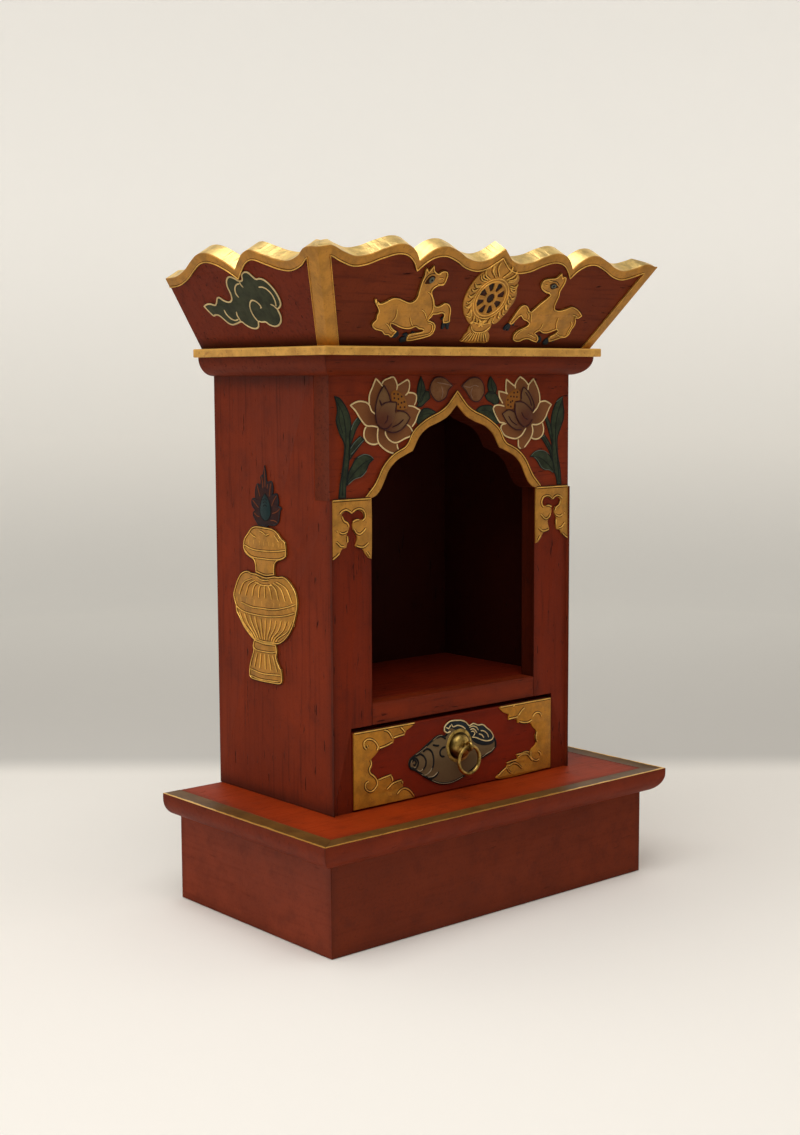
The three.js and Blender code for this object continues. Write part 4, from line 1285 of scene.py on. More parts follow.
WHEEL = (3.4, 38.2)
MEDALLION = [
    (-10.5, 59.6), (-14.6, 55.6), (-17.6, 51), (-19.4, 46), (-20.4, 40), (-20, 35), (-18.6, 31),
    (-15.4, 26), (-11, 21.6), (-8, 19.2), (-5.4, 17.6), (-6.4, 14.4), (-6, 12.6), (-7.8, 10), (-8.4, 7),
    (-9.8, 5.2), (-4, 4.2), (3, 3.9), (9, 4.2), (14, 4), (17, 5.2), (16.4, 8.6), (14.8, 11.4), (12.8, 13),
    (13.8, 15.4), (13.6, 19), (16.8, 19), (19.4, 21.4), (21.4, 24.8), (23.8, 28.4), (24.6, 32),
    (26.2, 35.4), (26.6, 40), (25, 45), (22.8, 49.4), (23, 53), (21.4, 56), (17.6, 59), (14.6, 62.4),
    (7.6, 65.6), (0, 70.8), (-5, 65)]


def from_hub(reach, angle):
    """A point at a distance from the wheel's middle, in a direction given in radians."""
    return WHEEL[0] + reach * math.cos(angle), WHEEL[1] + reach * math.sin(angle)


def spread(count):
    """Even shares from -1 to 1."""
    return [k / (count - 1) * 2 - 1 for k in range(count)]


def wheel_gaps():
    """Eight openings between the spokes."""
    corners = ((5.9, -10), (5.9, 10), (11.4, 14), (11.9, 0), (11.4, -14))
    return [[from_hub(reach, math.radians(45 * k + 20) + math.radians(turn)) for reach, turn in corners]
            for k in range(8)]


def flames():
    """Curled strokes round the wheel, growing taller towards the top."""
    strokes = []
    for k in range(44):
        angle = 360 * k / 44 + 4 * math.sin(k * 2.3)
        up = max(0.0, math.sin(math.radians(angle)))
        inner = 15.9 + 0.7 * (k % 2)
        outer = 20.6 + 1.2 * ((k * 7) % 3) / 2 + 5.5 * up ** 3
        turn = 10 if 90 < angle % 360 < 270 else -10
        stroke = []
        for i in range(6):
            share = i / 5
            reach = inner + (outer - inner) * share
            stroke.append(from_hub(reach, math.radians(angle + turn * math.sin(share * 2.4))))
        strokes.append(soft(stroke))
    return strokes


def lotus_foot_lines():
    lines = []
    for share in spread(9):
        lines.append(soft([(3.4 + share * 6.4, 12.4), (3.4 + share * 9, 9), (3.4 + share * 12, 4.9)]))
    lines.append(soft([(-5.2, 17.4), (-2, 13.6), (3.6, 12.2), (9.4, 13.4), (13, 17)]))
    lines.append(soft([(-4.6, 20.4), (3.4, 18.4), (12.4, 20.2)]))
    lines.append(soft([(-1, 24), (4, 23), (9, 24)]))
    return lines


def wheel():
    height = sizes().gilt_height / MM
    face = "crown_front"
    outlines = [soft(MEDALLION, True), *wheel_gaps(), disc(WHEEL, 3.4, 3.4)]
    body = plate("medallion", outlines, height, face, gold(), 0.3)
    dark = finish_named("wheel_ground", painted, (0.15, 0.16, 0.14), (0.26, 0.13, 0.10))
    ground = plate("ground", [disc(WHEEL, 13, 13, pieces=40)], 0.25, face, dark, 0.1)
    circles = [disc(WHEEL, radius, radius, pieces=48) for radius in (15, 12.9)]
    rims = ridge("rims", circles, 0.9, 0.6, height - 0.1, face, highlit_gold(), True)
    spokes = [[from_hub(reach, math.radians(45 * k - 2.5)) for reach in (4.4, 8, 12.4)] for k in range(8)]
    bars = ridge("spokes", spokes, 1.1, 0.5, height - 0.1, face, gold())
    curls = contour("curls", flames(), 1.15, 1.0, height - 0.1, face, highlit_gold(), seam=1.0)
    foot = contour("foot", lotus_foot_lines(), 1.0, 0.7, height - 0.1, face, highlit_gold(), seam=0.8)
    joined("wheel_medallion", [body, ground, rims, bars, *curls, *foot], "cabinet")


# ---- clouds, vases and jewels on the sides

# These are drawn by distance behind a line 1.7 mm behind the middle, and height.
SIDE_LINE = 1.7
CLOUD = [
    (67, 33.5), (63, 35), (58, 35.3), (53, 34.2), (50, 36), (47, 39), (44, 39.6), (40, 37), (35, 35.8),
    (31, 37.5), (29.3, 41), (29, 47), (27, 51), (23.5, 53.5), (20, 53.9), (16, 52.3), (12.4, 50.4), (9, 51),
    (7, 54.5), (3, 56.3), (-1, 56), (-4, 53), (-6.4, 50.8), (-10, 51), (-14, 50), (-18, 46.5), (-20.8, 41),
    (-21.6, 36), (-20.4, 31.5), (-17, 28.8), (-14.6, 28), (-14.4, 23), (-12, 19), (-7, 16), (-2, 15.4),
    (2.8, 17), (5, 18.9), (9, 18.9), (12.6, 19.6), (15, 16), (19, 14.4), (24, 15), (29, 17.6), (31.6, 19.8),
    (38, 18.8), (44, 18), (48, 19.6), (51, 22.6), (54, 25.4), (58, 26), (60.6, 25.4), (64, 29)]
CLOUD_LINES = [
    [(45.2, 30), (44.8, 26.4), (42, 23), (38, 21.6), (33.8, 22.4)],
    [(32.2, 28.2), (33.2, 25), (32.2, 20.6)],
    [(21.8, 38.2), (22.8, 41.4), (21, 45.2), (17.6, 47.6), (13.6, 48.2)],
    [(12.4, 50), (12.8, 47.8), (11.4, 45.2)],
    [(13, 19.8), (15, 24), (15.2, 28.6), (13.4, 32.6), (9.6, 35.4), (5.8, 35), (3, 32.6), (2.2, 30.2),
     (4, 29.4)], [(-5, 44.6), (-9.4, 44.4), (-13.4, 42.2), (-15.8, 38.2), (-15.6, 33.6), (-14, 30)],
    [(-9, 32), (-11.8, 30.8), (-14.2, 28)]]
VASE_HEAD = [
    (43, 269.7), (47, 269.2), (50, 268), (54, 264.5), (58.5, 260), (59.8, 256), (59.3, 252), (57, 249.5),
    (52, 247.2), (47.5, 245.5), (45.8, 242), (45.5, 237.2), (34, 235.6), (23.3, 237), (23.8, 240),
    (23, 244.5), (20, 246.8), (14, 248.8), (10.5, 250.5), (9.8, 254.5), (10, 257), (11, 260.5), (16, 263.5),
    (20, 266.8), (25, 268.8), (34, 269.4)]
VASE_BODY = [
    (45.6, 236.4), (51, 236.6), (55, 237.5), (62, 235.8), (67, 231), (71, 224), (72.8, 219), (71.5, 214.5),
    (70.2, 212), (69.3, 207), (66.5, 204), (60, 196.5), (52, 191), (48, 189), (36, 187.8), (24, 188.8),
    (18, 190), (10, 195), (4, 202), (0.5, 209), (-2, 217), (-2.3, 221), (-0.5, 227), (4, 232), (9, 235.5),
    (14, 237), (20, 236.2), (23, 236.4), (34, 234.8)]
VASE_FOOT = [
    (48, 189.6), (49.3, 187.5), (50, 184.5), (49.3, 182.5), (51.5, 177), (54, 171), (54.8, 166),
    (54.5, 163), (53, 161.5), (45, 160.7), (30, 160.9), (18, 161.8), (16.5, 163), (16, 165), (16.7, 172.5),
    (18.5, 173), (22.5, 180), (22, 182.2), (21.7, 184.5), (23, 189), (36, 188.4)]
VASE_LINES = [
    [(58.6, 252.2), (52, 248.4), (35, 247.4), (15, 248.8), (10.4, 251)],
    [(58.8, 255.6), (50, 253.3), (38, 252.8), (20, 253.8), (10, 255.2)],
    [(41, 266.6), (36.6, 265.6), (33, 264), (28.6, 265.2)], [(23.4, 264.8), (20.4, 262.4), (17.6, 260)],
    [(52, 264.6), (47.6, 262.4), (44.4, 261.6)], [(44.5, 234), (38, 232.3), (30, 233)],
    [(46.5, 230.5), (38, 228.8), (26, 229.5)],
    [(64, 214.5), (50, 212.3), (40, 212.5), (25, 213), (10, 216), (0, 219)],
    [(70, 211.5), (62, 208.5), (45, 207.2), (25, 208), (10, 210.5), (1, 213)],
    [(65, 203), (55, 194.5), (47, 189.8)], [(47, 190.4), (36, 189.4), (24, 190.4)],
    [(49.4, 184.2), (46, 182.6), (35, 182.3), (26, 182.8), (22.4, 184)],
    [(53, 163.4), (42, 162.2), (20, 163.2)], [(53.4, 168.2), (40, 166.6), (18, 168)]]
JEWEL_FLAMES = [
    (33.5, 269.2), (37, 270.2), (41.5, 269.8), (43.5, 271.5), (46, 274), (48.3, 277), (48, 279), (47, 280),
    (45.5, 280.5), (49, 283), (50, 286), (49, 288.5), (47, 289), (45, 288.5), (45.5, 293), (44.5, 297),
    (43, 299.2), (41.5, 299), (39.8, 297), (38.5, 301), (39, 304), (37, 305.5), (36, 304), (35.6, 307),
    (34, 312), (32.4, 307), (31.8, 301.5), (30, 300.8), (27, 301.7), (25.3, 300.5), (24.3, 297),
    (24.5, 293.5), (25.3, 292), (22.5, 293.2), (20, 293), (18.5, 290), (18.3, 286), (19, 284.8),
    (17, 284.6), (14.5, 283.2), (16.3, 282), (17.3, 278), (18.5, 274), (22, 271.5), (26, 270.8),
    (29.5, 271), (32, 269.8)]
JEWEL_STONE = [
    (33.3, 274), (37.6, 276), (39.4, 280.4), (38.4, 286), (36, 290.4), (33.7, 292.6), (31, 290.2),
    (28.2, 286), (27.2, 280.4), (29.2, 276)]
JEWEL_RAYS = [
    [(34, 311), (33.6, 304), (33.6, 297)], [(37.4, 304.6), (36.4, 300), (36, 296)],
    [(43, 298.4), (41, 293.6), (39.4, 290)], [(48.6, 287.6), (44.6, 284.6), (41.4, 282.6)],
    [(47, 278.6), (43, 276.6), (40.4, 276.4)], [(26.4, 300.6), (28, 295), (28.8, 290.6)],
    [(20.4, 292), (24, 288), (26.2, 284.4)], [(16.6, 283.2), (21, 280.6), (25.8, 279.2)],
    [(20, 273.4), (24, 274.6), (28, 274.4)], [(30.6, 299.6), (31.2, 296)]]


def along_side(face, points):
    """Puts a figure drawn by distance behind the side line on to the left or the right face."""
    side = -1 if "left" in face else 1
    return [(side * (p[0] - SIDE_LINE), p[1]) for p in points]


def cloud(face):
    height = sizes().paint_height / MM
    green = finish_named("cloud_green", painted, (0.215, 0.225, 0.165), (0.235, 0.245, 0.175))
    edge = soft(along_side(face, CLOUD), True)
    body = plate("cloud", [edge], height, face, green, 0.3)
    rim = ridge("rim", [inset(edge, 0.5)], 1.25, 0.5, height - 0.1, face, cream(), True)
    lines = [soft(along_side(face, line)) for line in CLOUD_LINES]
    curls = ridge("curls", lines, 1.2, 0.45, height - 0.1, face, cream())
    joined(face + "_cloud", [body, rim, curls], "cabinet")


def vase_flutes():
    """Curved grooves between the belly's bands and down to the foot, drawn as raised lines."""
    lines = []
    for share in spread(11):
        top = 34.5 + share * 31
        low_end = 35.5 + share * 12.5
        sag = 208 + abs(share) * 2.5
        lines.append([(top, sag - 3), (top - share * 5, 200), (low_end + share * 3, 193.4), (low_end, 190.4)])
    for share in spread(9):
        lines.append([(35.5 + share * 14, 228.6 + abs(share) * 4), (35 + share * 25, 225.6 + abs(share) * 3),
                      (34.6 + share * 31, 219.6)])
    for share in spread(5):
        lines.append([(35.6 + share * 9, 181), (35.4 + share * 11, 176), (35.2 + share * 13.5, 169.6)])
    return lines


def vase_beads():
    """Rows of short strokes round the neck and the belly."""
    rows = (((54, 48, 41, 36, 30, 25, 19, 15), 259.6, 256.6, 0.4),
            ((69, 64, 57, 48, 39, 25, 18, 9, 3), 217.6, 214.4, 0.3),
            ((66, 60, 54, 48, 41, 35, 29, 22, 13, 8, 2), 206.4, 203.6, 0.2))
    return [[(a, top), (a - lean, foot)] for places, top, foot, lean in rows for a in places]


def vase(face):
    height = sizes().gilt_height / MM
    width = sizes().line_width / MM
    made = []
    for part in (VASE_FOOT, VASE_BODY, VASE_HEAD):
        edge = soft(along_side(face, part), True)
        made.append(plate("part", [edge], height, face, gold(), 0.5))
        made += contour("rim", [inset(edge, 0.6)], width, 0.6, height - 0.1, face, highlit_gold(), True)
    lines = [soft(along_side(face, line)) for line in VASE_LINES + vase_flutes()]
    made += contour("lines", lines, width * 1.1, 0.75, height - 0.1, face, highlit_gold(), seam=0.75)
    beads = [along_side(face, line) for line in vase_beads()]
    made.append(ridge("beads", beads, 1.2, 0.5, height - 0.1, face, highlit_gold()))
    joined(face + "_vase", made, "cabinet")


def jewel(face):
    height = sizes().paint_height / MM
    smoke = finish_named("flame_paint", painted, (0.24, 0.12, 0.10), (0.16, 0.11, 0.12))
    edge = soft(along_side(face, JEWEL_FLAMES), True, step=0.6)
    body = plate("flames", [edge], height, face, smoke, 0.3)
    ochre = finish_named("flame_light", painted, (0.45, 0.22, 0.11))
    rays = ridge("rays", [soft(along_side(face, ray)) for ray in JEWEL_RAYS], 0.8, 0.3, height, face, ochre)
    blue = finish_named("jewel_blue", painted, (0.10, 0.18, 0.185), rough=0.35)
    egg = soft(along_side(face, JEWEL_STONE), True)
    stone = plate("stone", [egg], height + 0.4, face, blue, 0.45)
    arcs = [along_side(face, arc((33.6, middle), 2.6, 30, 150, 8)) for middle in (286.6, 284.4, 282.2)]
    marks = ridge("marks", arcs, 0.6, 0.2, height + 0.4, face, ink())
    rim = ridge("rim", [inset(edge, 0.35)], 0.9, 0.35, height - 0.1, face, navy(), True)
    ring = ridge("ring", [egg], 1.0, 0.5, height, face, ink(), True)
    joined(face + "_jewel", [body, rays, stone, marks, rim, ring], "cabinet")


# ---- lotus spandrels

LOTUS_LEFT = {
    "flower": [
        (-95.5, 353.5), (-91, 355.5), (-87, 356.3), (-82, 355.5), (-79.2, 354), (-79, 360), (-76, 366),
        (-73.5, 371.3), (-70, 368.5), (-68, 367.4), (-66.6, 369.7), (-63, 371), (-58, 372.2), (-56, 370),
        (-54.4, 366.4), (-50, 368.5), (-45.5, 370.4), (-43.8, 369), (-43.5, 365), (-44.8, 361.6),
        (-40, 361.2), (-37.4, 359.5), (-37.5, 356), (-39.5, 352.4), (-37, 350.8), (-34, 349.5),
        (-36.5, 345.5), (-38.5, 341), (-41.4, 338), (-40.5, 334.5), (-42.5, 332), (-48, 330.3), (-54, 327),
        (-53.5, 322.8), (-57.5, 320.3), (-62, 321.5), (-68, 325), (-71.5, 327.8), (-74, 327),
        (-78.5, 327.5), (-82, 329.5), (-84, 333), (-83.5, 337), (-81.8, 340), (-86, 344), (-90, 349)],
    "cream": [
        [(-73, 347), (-77, 349.4), (-79.2, 353.6), (-82, 355.3), (-87, 356), (-91, 355.3), (-95.2, 353.5),
         (-91, 350), (-86.6, 344.4), (-81.8, 340), (-76, 339.4), (-71.6, 338.6)],
        [(-79.2, 353.6), (-78.8, 360), (-75.8, 366), (-73.3, 370.9), (-70, 368.3), (-67.4, 365.6)],
        [(-68.2, 367), (-66.4, 369.5), (-63, 370.8), (-58, 371.9), (-56, 369.8), (-54.6, 366),
         (-55.2, 363)],
        [(-54.6, 366), (-50, 368.2), (-45.6, 370.1), (-44, 368.8), (-43.8, 365), (-45.2, 361.2),
         (-47.6, 359.5)], [(-45.2, 361.4), (-40, 360.9), (-37.6, 359.4), (-37.7, 356), (-39.6, 352.6)],
        [(-45, 352.6), (-40, 351.9), (-37, 350.6), (-34.3, 349.4), (-36.7, 345.5), (-38.7, 341.4),
         (-41.6, 338.2)],
        [(-46.6, 340.2), (-43.4, 338.2), (-40.8, 334.5), (-42.7, 332.2), (-48, 330.5), (-53, 328.5),
         (-57, 327.9), (-62, 330), (-65, 333.6), (-65.4, 336)],
        [(-71.6, 338.4), (-72.2, 333), (-71.4, 328.6), (-68, 325.2), (-62, 321.8), (-57.6, 320.6)],
        [(-55, 327), (-54.6, 324.6), (-53.6, 323)],
        [(-81.6, 339.4), (-83.3, 337), (-83.8, 333), (-81.8, 329.7), (-78.5, 327.8), (-74, 327.3),
         (-71.6, 328)]],
    "inner": [
        [(-66.5, 367), (-63.5, 363), (-61, 358), (-60, 353.6), (-65, 352.4), (-69, 349.6), (-73, 344),
         (-74.4, 350), (-73.5, 356), (-70.5, 362)],
        [(-46.8, 347.6), (-43.2, 344.4), (-46, 341), (-50, 337.4), (-55, 334.6), (-60, 334.6),
         (-66.4, 336.6), (-61, 339.4), (-58.6, 345), (-54.6, 348.4)],
        [(-55.4, 355), (-60, 355.2), (-65, 354.5), (-70, 351), (-73, 345), (-73, 341.2), (-70, 338.4),
         (-65, 337.4), (-61, 339), (-59, 342), (-56.6, 347.6)]],
    "mauve": [
        [(-66.6, 366.6), (-62.8, 361), (-60.6, 355.4)],
        [(-66.6, 366.4), (-70.6, 361.4), (-73.4, 355), (-74.2, 348), (-73, 341)],
        [(-70.6, 357), (-68.6, 352.6)],
        [(-69, 353.4), (-64.6, 355), (-60, 355.3), (-55.6, 354.9), (-56.8, 348)],
        [(-63.4, 346.6), (-64, 343.2), (-66.4, 340.8)],
        [(-72.6, 340.4), (-68, 337.6), (-63.6, 337.8), (-59.8, 341)],
        [(-55.4, 349.4), (-50, 348.9), (-46.4, 347.4), (-43.6, 344.4), (-46.2, 341), (-51, 336.8),
         (-56.6, 334.8), (-62, 335.2), (-66.6, 337)], [(-49.4, 343.4), (-54, 340.2), (-59.6, 338.4)]],
    "pod": [
        (-60, 361.6), (-57, 363.2), (-54, 362.4), (-50, 360), (-47.4, 357), (-45.8, 353), (-46.4, 350.4),
        (-50, 349.6), (-55, 350.2), (-55.6, 354.6), (-59.6, 356)],
    "seeds": [
        (-57.6, 360.6), (-57.4, 357.8), (-54.2, 360.4), (-53.8, 357.2), (-51, 358.8), (-51.2, 354.6),
        (-52.2, 351.6), (-48.6, 355.2), (-48.4, 351.6), (-54, 353.6)],
    "bud": [
        (-25.4, 363), (-24.4, 367.5), (-21, 371), (-16.5, 372), (-11, 371), (-7, 368.4), (-3.6, 365.8),
        (-7.4, 363), (-10, 358), (-14, 355.4), (-18.5, 355), (-22.5, 358)],
    "bud_lines": [
        [(-18.4, 368), (-13, 367.4), (-4.4, 365.8)], [(-14.6, 365.4), (-13.4, 361.4), (-14.4, 357)]],
    "leaves": [
        [(-105.6, 292.4), (-104.6, 300), (-102.6, 310), (-101, 320), (-100.6, 328), (-104.6, 335.6),
         (-107.2, 343), (-106.2, 350), (-107, 355), (-108.6, 359.8), (-104, 358.4), (-99.6, 354),
         (-96, 348), (-94.4, 342), (-95.2, 334), (-95.6, 326), (-96.4, 316), (-98, 306), (-99, 300),
         (-99.4, 292.4)],
        [(-98.4, 300.6), (-94, 304), (-87, 306), (-82, 309.6), (-79, 314.6), (-75, 317.4), (-79, 320.2),
         (-84, 321), (-90, 319), (-94, 314), (-97.4, 308)],
        [(-96.4, 324.6), (-92, 329.6), (-87, 333.2), (-82.8, 330.6), (-88, 325.6), (-93, 320.6),
         (-96.6, 316.6)],
        [(-96, 336), (-93, 341.4), (-89, 345.4), (-86, 342.8), (-90, 337.6), (-93.4, 330.4), (-96, 326)],
        [(-36.4, 354.4), (-36.8, 362), (-34.8, 369), (-33, 372.4), (-30.5, 368), (-29, 363), (-30.6, 358.6),
         (-33, 355)],
        [(-37.4, 351.8), (-33, 351.6), (-28, 355), (-24.6, 357.4), (-25.6, 362), (-29, 362.4), (-33, 358)],
        [(-37.4, 342.6), (-35, 347), (-31, 350.4), (-27, 350.7), (-22, 349.2), (-18, 347), (-22, 344.4),
         (-28, 342), (-33, 339.6), (-36, 340)]],
    "veins": [
        [(-106.4, 356), (-101.6, 348), (-99.4, 338), (-99.2, 328), (-101.6, 310), (-102.4, 294)],
        [(-98, 303.4), (-91, 310), (-84, 315), (-77, 317.6)], [(-33, 371), (-33, 364), (-34.6, 357)],
        [(-36, 344), (-30, 346.6), (-20, 346.8)], [(-95.4, 320), (-90, 326), (-84.4, 331)],
        [(-104.6, 352), (-104.6, 344), (-101.6, 335)]],
    "pale": [
        [(-89.6, 318.9), (-84, 320.7), (-79, 319.9), (-75.6, 317.6)],
        [(-97.6, 301.4), (-92, 304.8), (-86, 306.3), (-81.6, 310)],
        [(-95, 337), (-92.6, 341.6), (-89.4, 345)], [(-95.6, 324.8), (-91, 329.8), (-86.4, 332.8)],
        [(-95, 321), (-89, 326.4), (-84, 330.4)]],
}
LOTUS_RIGHT = {
    "flower": [
        (94, 351.4), (91, 353), (87, 354.4), (84.4, 354.2), (82, 353), (81.8, 358), (80.2, 363),
        (77.6, 367), (75, 370.6), (72, 368.4), (70.2, 366), (66.4, 369.6), (61.6, 372.2), (58.4, 369.6),
        (56.2, 366), (52, 367.8), (47.6, 370.4), (47, 365.4), (47.4, 361.2), (44.6, 361.2), (40, 362),
        (40.4, 357.8), (42, 355), (42.6, 352.4), (39.8, 352.2), (36.2, 351.6), (34.4, 349.4), (35.6, 346.8),
        (38, 343), (41, 339.6), (43.4, 337.8), (42, 335.6), (43.4, 332.6), (46, 330), (50, 328.5),
        (57.6, 327.4), (59.6, 325), (60, 321.8), (62.6, 319.9), (66, 320.7), (70, 324.6), (73, 327.6),
        (77, 326.4), (82, 327.4), (85, 330), (86, 334), (84.8, 338.4), (87.8, 342), (90, 346), (92, 349.4)],
    "cream": [
        [(74.6, 345.6), (79, 349.4), (81.6, 353.2), (84.6, 354), (87.4, 354.1), (91, 352.8), (93.7, 351.4),
         (91.6, 349.2), (89.6, 346), (87.4, 342.2), (84, 338.9), (79, 337.2), (73.6, 337.4)],
        [(81.6, 353.2), (81.4, 358), (79.8, 362.8), (77.4, 366.8), (75, 370.2), (72.2, 368), (70, 365.4),
         (69.4, 362)],
        [(70.2, 365.6), (66.2, 369.3), (61.6, 371.8), (58.6, 369.3), (56.6, 366), (56.8, 363.4)],
        [(56.2, 365), (52, 367.4), (47.9, 370), (47.3, 365.4), (47.7, 361), (49.4, 359.4)],
        [(49.2, 359.8), (44.6, 360.9), (40.3, 361.6), (40.8, 357.8), (42.4, 355.4), (44.4, 352.8)],
        [(46, 350.9), (40, 351.9), (36.4, 351.3), (34.7, 349.4), (35.9, 346.8), (38.3, 343), (41.2, 339.8),
         (46.4, 339)],
        [(48, 338.6), (43.8, 337.8), (42.3, 335.6), (43.7, 332.8), (46.2, 330.3), (50, 328.8),
         (57.8, 327.7), (63, 329.8), (66, 333), (67.6, 335)],
        [(59.8, 327), (59.9, 325), (60.3, 321.8), (62.6, 320.2)],
        [(66, 321), (70, 324.8), (73.4, 329), (74.6, 333.4), (73.4, 337.4)],
        [(73, 327.8), (77, 326.7), (82, 327.7), (84.8, 330.2), (85.7, 334), (84.4, 338.4)]],
    "inner": [
        [(64.4, 364.8), (62.2, 360), (61.8, 355.6), (65, 353.6), (69.6, 351), (74.2, 346), (75.8, 350),
         (74.4, 356), (70.6, 361.4)],
        [(43, 345.6), (46, 347.4), (49.6, 348.4), (54.8, 346.8), (57.4, 342), (60, 338), (66.6, 335.4),
         (62.6, 333.6), (58, 333.8), (52, 336.4), (47.6, 340.4)],
        [(56.4, 353.6), (61, 353.8), (66, 352.6), (70, 350), (73.6, 344.6), (73.2, 340.6), (70.6, 337.4),
         (66, 335.6), (61.6, 338), (58, 343), (56, 348.6)]],
    "mauve": [
        [(64.6, 364.6), (69, 361.6), (73, 356.6), (75.4, 351), (74.4, 346.4)],
        [(66.4, 361), (70.6, 356), (73, 350.6)], [(64.4, 364.6), (62.4, 360), (62.4, 355.4)],
        [(56.4, 353.6), (61, 354), (66, 352.8), (70.6, 349.8), (74.4, 347)],
        [(56.2, 353), (56.4, 346), (59.6, 340), (64, 336.4), (67, 335.6)],
        [(62.4, 346.6), (65.4, 342.6), (69.6, 341)], [(67, 335.6), (71, 338), (73.8, 341.4)],
        [(56, 346.6), (50, 348.4), (43.4, 345.6), (46.4, 341.6), (51, 337.2), (57, 334.2), (63, 333.8)],
        [(49.6, 344), (53, 340), (58.4, 337.2)]],
    "pod": [
        (61.6, 361), (58.6, 362.8), (55, 362.4), (50.6, 360), (47.8, 356.6), (46.8, 352.4), (47.6, 349.4),
        (51, 348.6), (54.8, 349), (56, 354.4), (61.2, 355)],
    "seeds": [
        (58.6, 360.8), (58, 357.4), (55.2, 360.4), (55, 357.6), (52, 357.8), (51.8, 353.8), (49, 355.4),
        (49.2, 351.8), (52, 350.6), (53.6, 354.6)],
    "bud": [
        (4, 365.4), (8.6, 369), (14, 371.4), (20.6, 371.2), (25.2, 367.4), (26.5, 361.5), (23.8, 356.8),
        (19.6, 354.2), (15, 355), (11, 358.5), (8, 362.4)],
    "bud_lines": [
        [(6, 365.6), (12, 364.6), (17, 366), (20.6, 364.8)], [(14.6, 364.4), (13, 360.4), (14.6, 357)]],
    "leaves": [
        [(105, 292.6), (104.4, 300), (103.4, 306), (101.6, 313), (100.8, 320), (100.8, 327), (104.4, 335),
         (107, 341), (107.4, 347), (106.2, 353), (106, 357.4), (101.4, 355.6), (97.4, 351), (95, 346),
         (93.8, 341), (93.6, 335), (94.4, 329), (94.6, 321), (95, 313), (97, 303), (99.6, 297),
         (100.4, 292.6)],
        [(72, 314), (76, 317.4), (82, 318.6), (88, 317.6), (92, 315), (97, 308), (98, 301), (95.6, 302),
         (91, 303.8), (87, 303.8), (83, 306), (79.5, 310.4), (76, 313.4)],
        [(95, 319), (91, 325.6), (87, 330), (83.4, 327.4), (88, 322.4), (91.6, 317.6), (95, 311)],
        [(95, 330), (92.2, 339), (89.4, 343.6), (87.2, 341.4), (90, 335), (93, 327), (95, 322)],
        [(30.8, 370.4), (29.5, 365), (31, 361), (34, 359.5), (37.5, 360), (38.6, 364), (36, 368.5),
         (32.6, 372.2)],
        [(26.8, 358.6), (31, 361.6), (36, 361), (40, 357.6), (41, 353.5), (37, 352), (33, 353.6),
         (29, 355.6)],
        [(18, 348.4), (22, 351), (27, 352), (34, 351.4), (37, 347), (41, 338.6), (36, 339), (30, 342),
         (24, 345)]],
    "veins": [
        [(105.4, 355), (101, 346), (98.8, 337), (98.6, 325), (101, 309), (102.6, 294)],
        [(73, 314.4), (82, 313), (90, 308.6), (96, 303.4)], [(33, 370.8), (33.4, 365), (35.4, 361)],
        [(21, 348), (30, 348), (38.6, 342)], [(85.4, 328), (91, 321), (94.4, 315)]],
    "pale": [
        [(73, 314.6), (76.6, 317.2), (82, 318.3), (87.6, 317.4), (91, 315.4)],
        [(76, 314), (80, 311), (84, 306), (88, 304.2), (92, 303.8), (96, 301.6)],
        [(99, 353.4), (102.6, 355.6), (105.6, 357)], [(88, 341.6), (89.6, 343)],
        [(84.4, 327.8), (87, 329.4)]],
}


def shaded_petal(name, centre, light, deep, near, far):
    """Paint that deepens from a pale tip to a dark base, by distance from a point on the front."""
    look = Finish(name)
    x, _, z = look.axes()
    away = look.distance(x - centre[0] * MM, z - centre[1] * MM)
    reach = away + look.noise(0.005, 3) * 0.004 - 0.002
    tone = look.fade(reach, near * MM, far * MM)
    grit = look.noise(0.0009, 3, 0.6)
    base = look.blend(tone, paint(deep), paint(light))
    base = look.blend(look.fade(grit, 0.55, 0.8) * 0.3, base, paint(deep, 0.6))
    return look.finish(base, 0.5 + grit * 0.15, height=grit, depth=0.00015, shine=0.12)


def lotus(side, parts):
    height = sizes().paint_height / MM
    face = "front"
    flower = finish_named(sided("petals", side), shaded_petal, (side * 65, 346),
                          (0.475, 0.29, 0.155), (0.35, 0.19, 0.095), 8, 24)
    bulb = finish_named(sided("bulb", side), shaded_petal, (side * 68, 340),
                        (0.46, 0.335, 0.21), (0.33, 0.17, 0.11), 2, 22)
    made = [plate("flower", [soft(parts["flower"], True)], height, face, flower, 0.25)]
    lines = soft_lines(parts["cream"])
    made.append(ridge("cream", lines, 1.15, 0.5, height - 0.1, face, cream()))
    for step, line in enumerate(parts["inner"]):
        made.append(plate("inner", [soft(line, True)], height + 0.2 + 0.15 * step, face, bulb, 0.3))
    made.append(ridge("mauve", soft_lines(parts["mauve"]), 0.9, 0.5, height + 0.45, face, mauve()))
    pod = finish_named("pod_ochre", painted, (0.60, 0.38, 0.13), (0.52, 0.31, 0.11))
    made.append(plate("pod", [soft(parts["pod"], True)], height + 0.25, face, pod, 0.3))
    seeds = [disc(spot, 0.75, 0.75, pieces=10) for spot in parts["seeds"]]
    brown = finish_named("seed_brown", painted, (0.22, 0.11, 0.09))
    made.append(plate("seeds", seeds, height + 0.4, face, brown, 0.1))
    joined(sided("lotus", side), made, "cabinet")


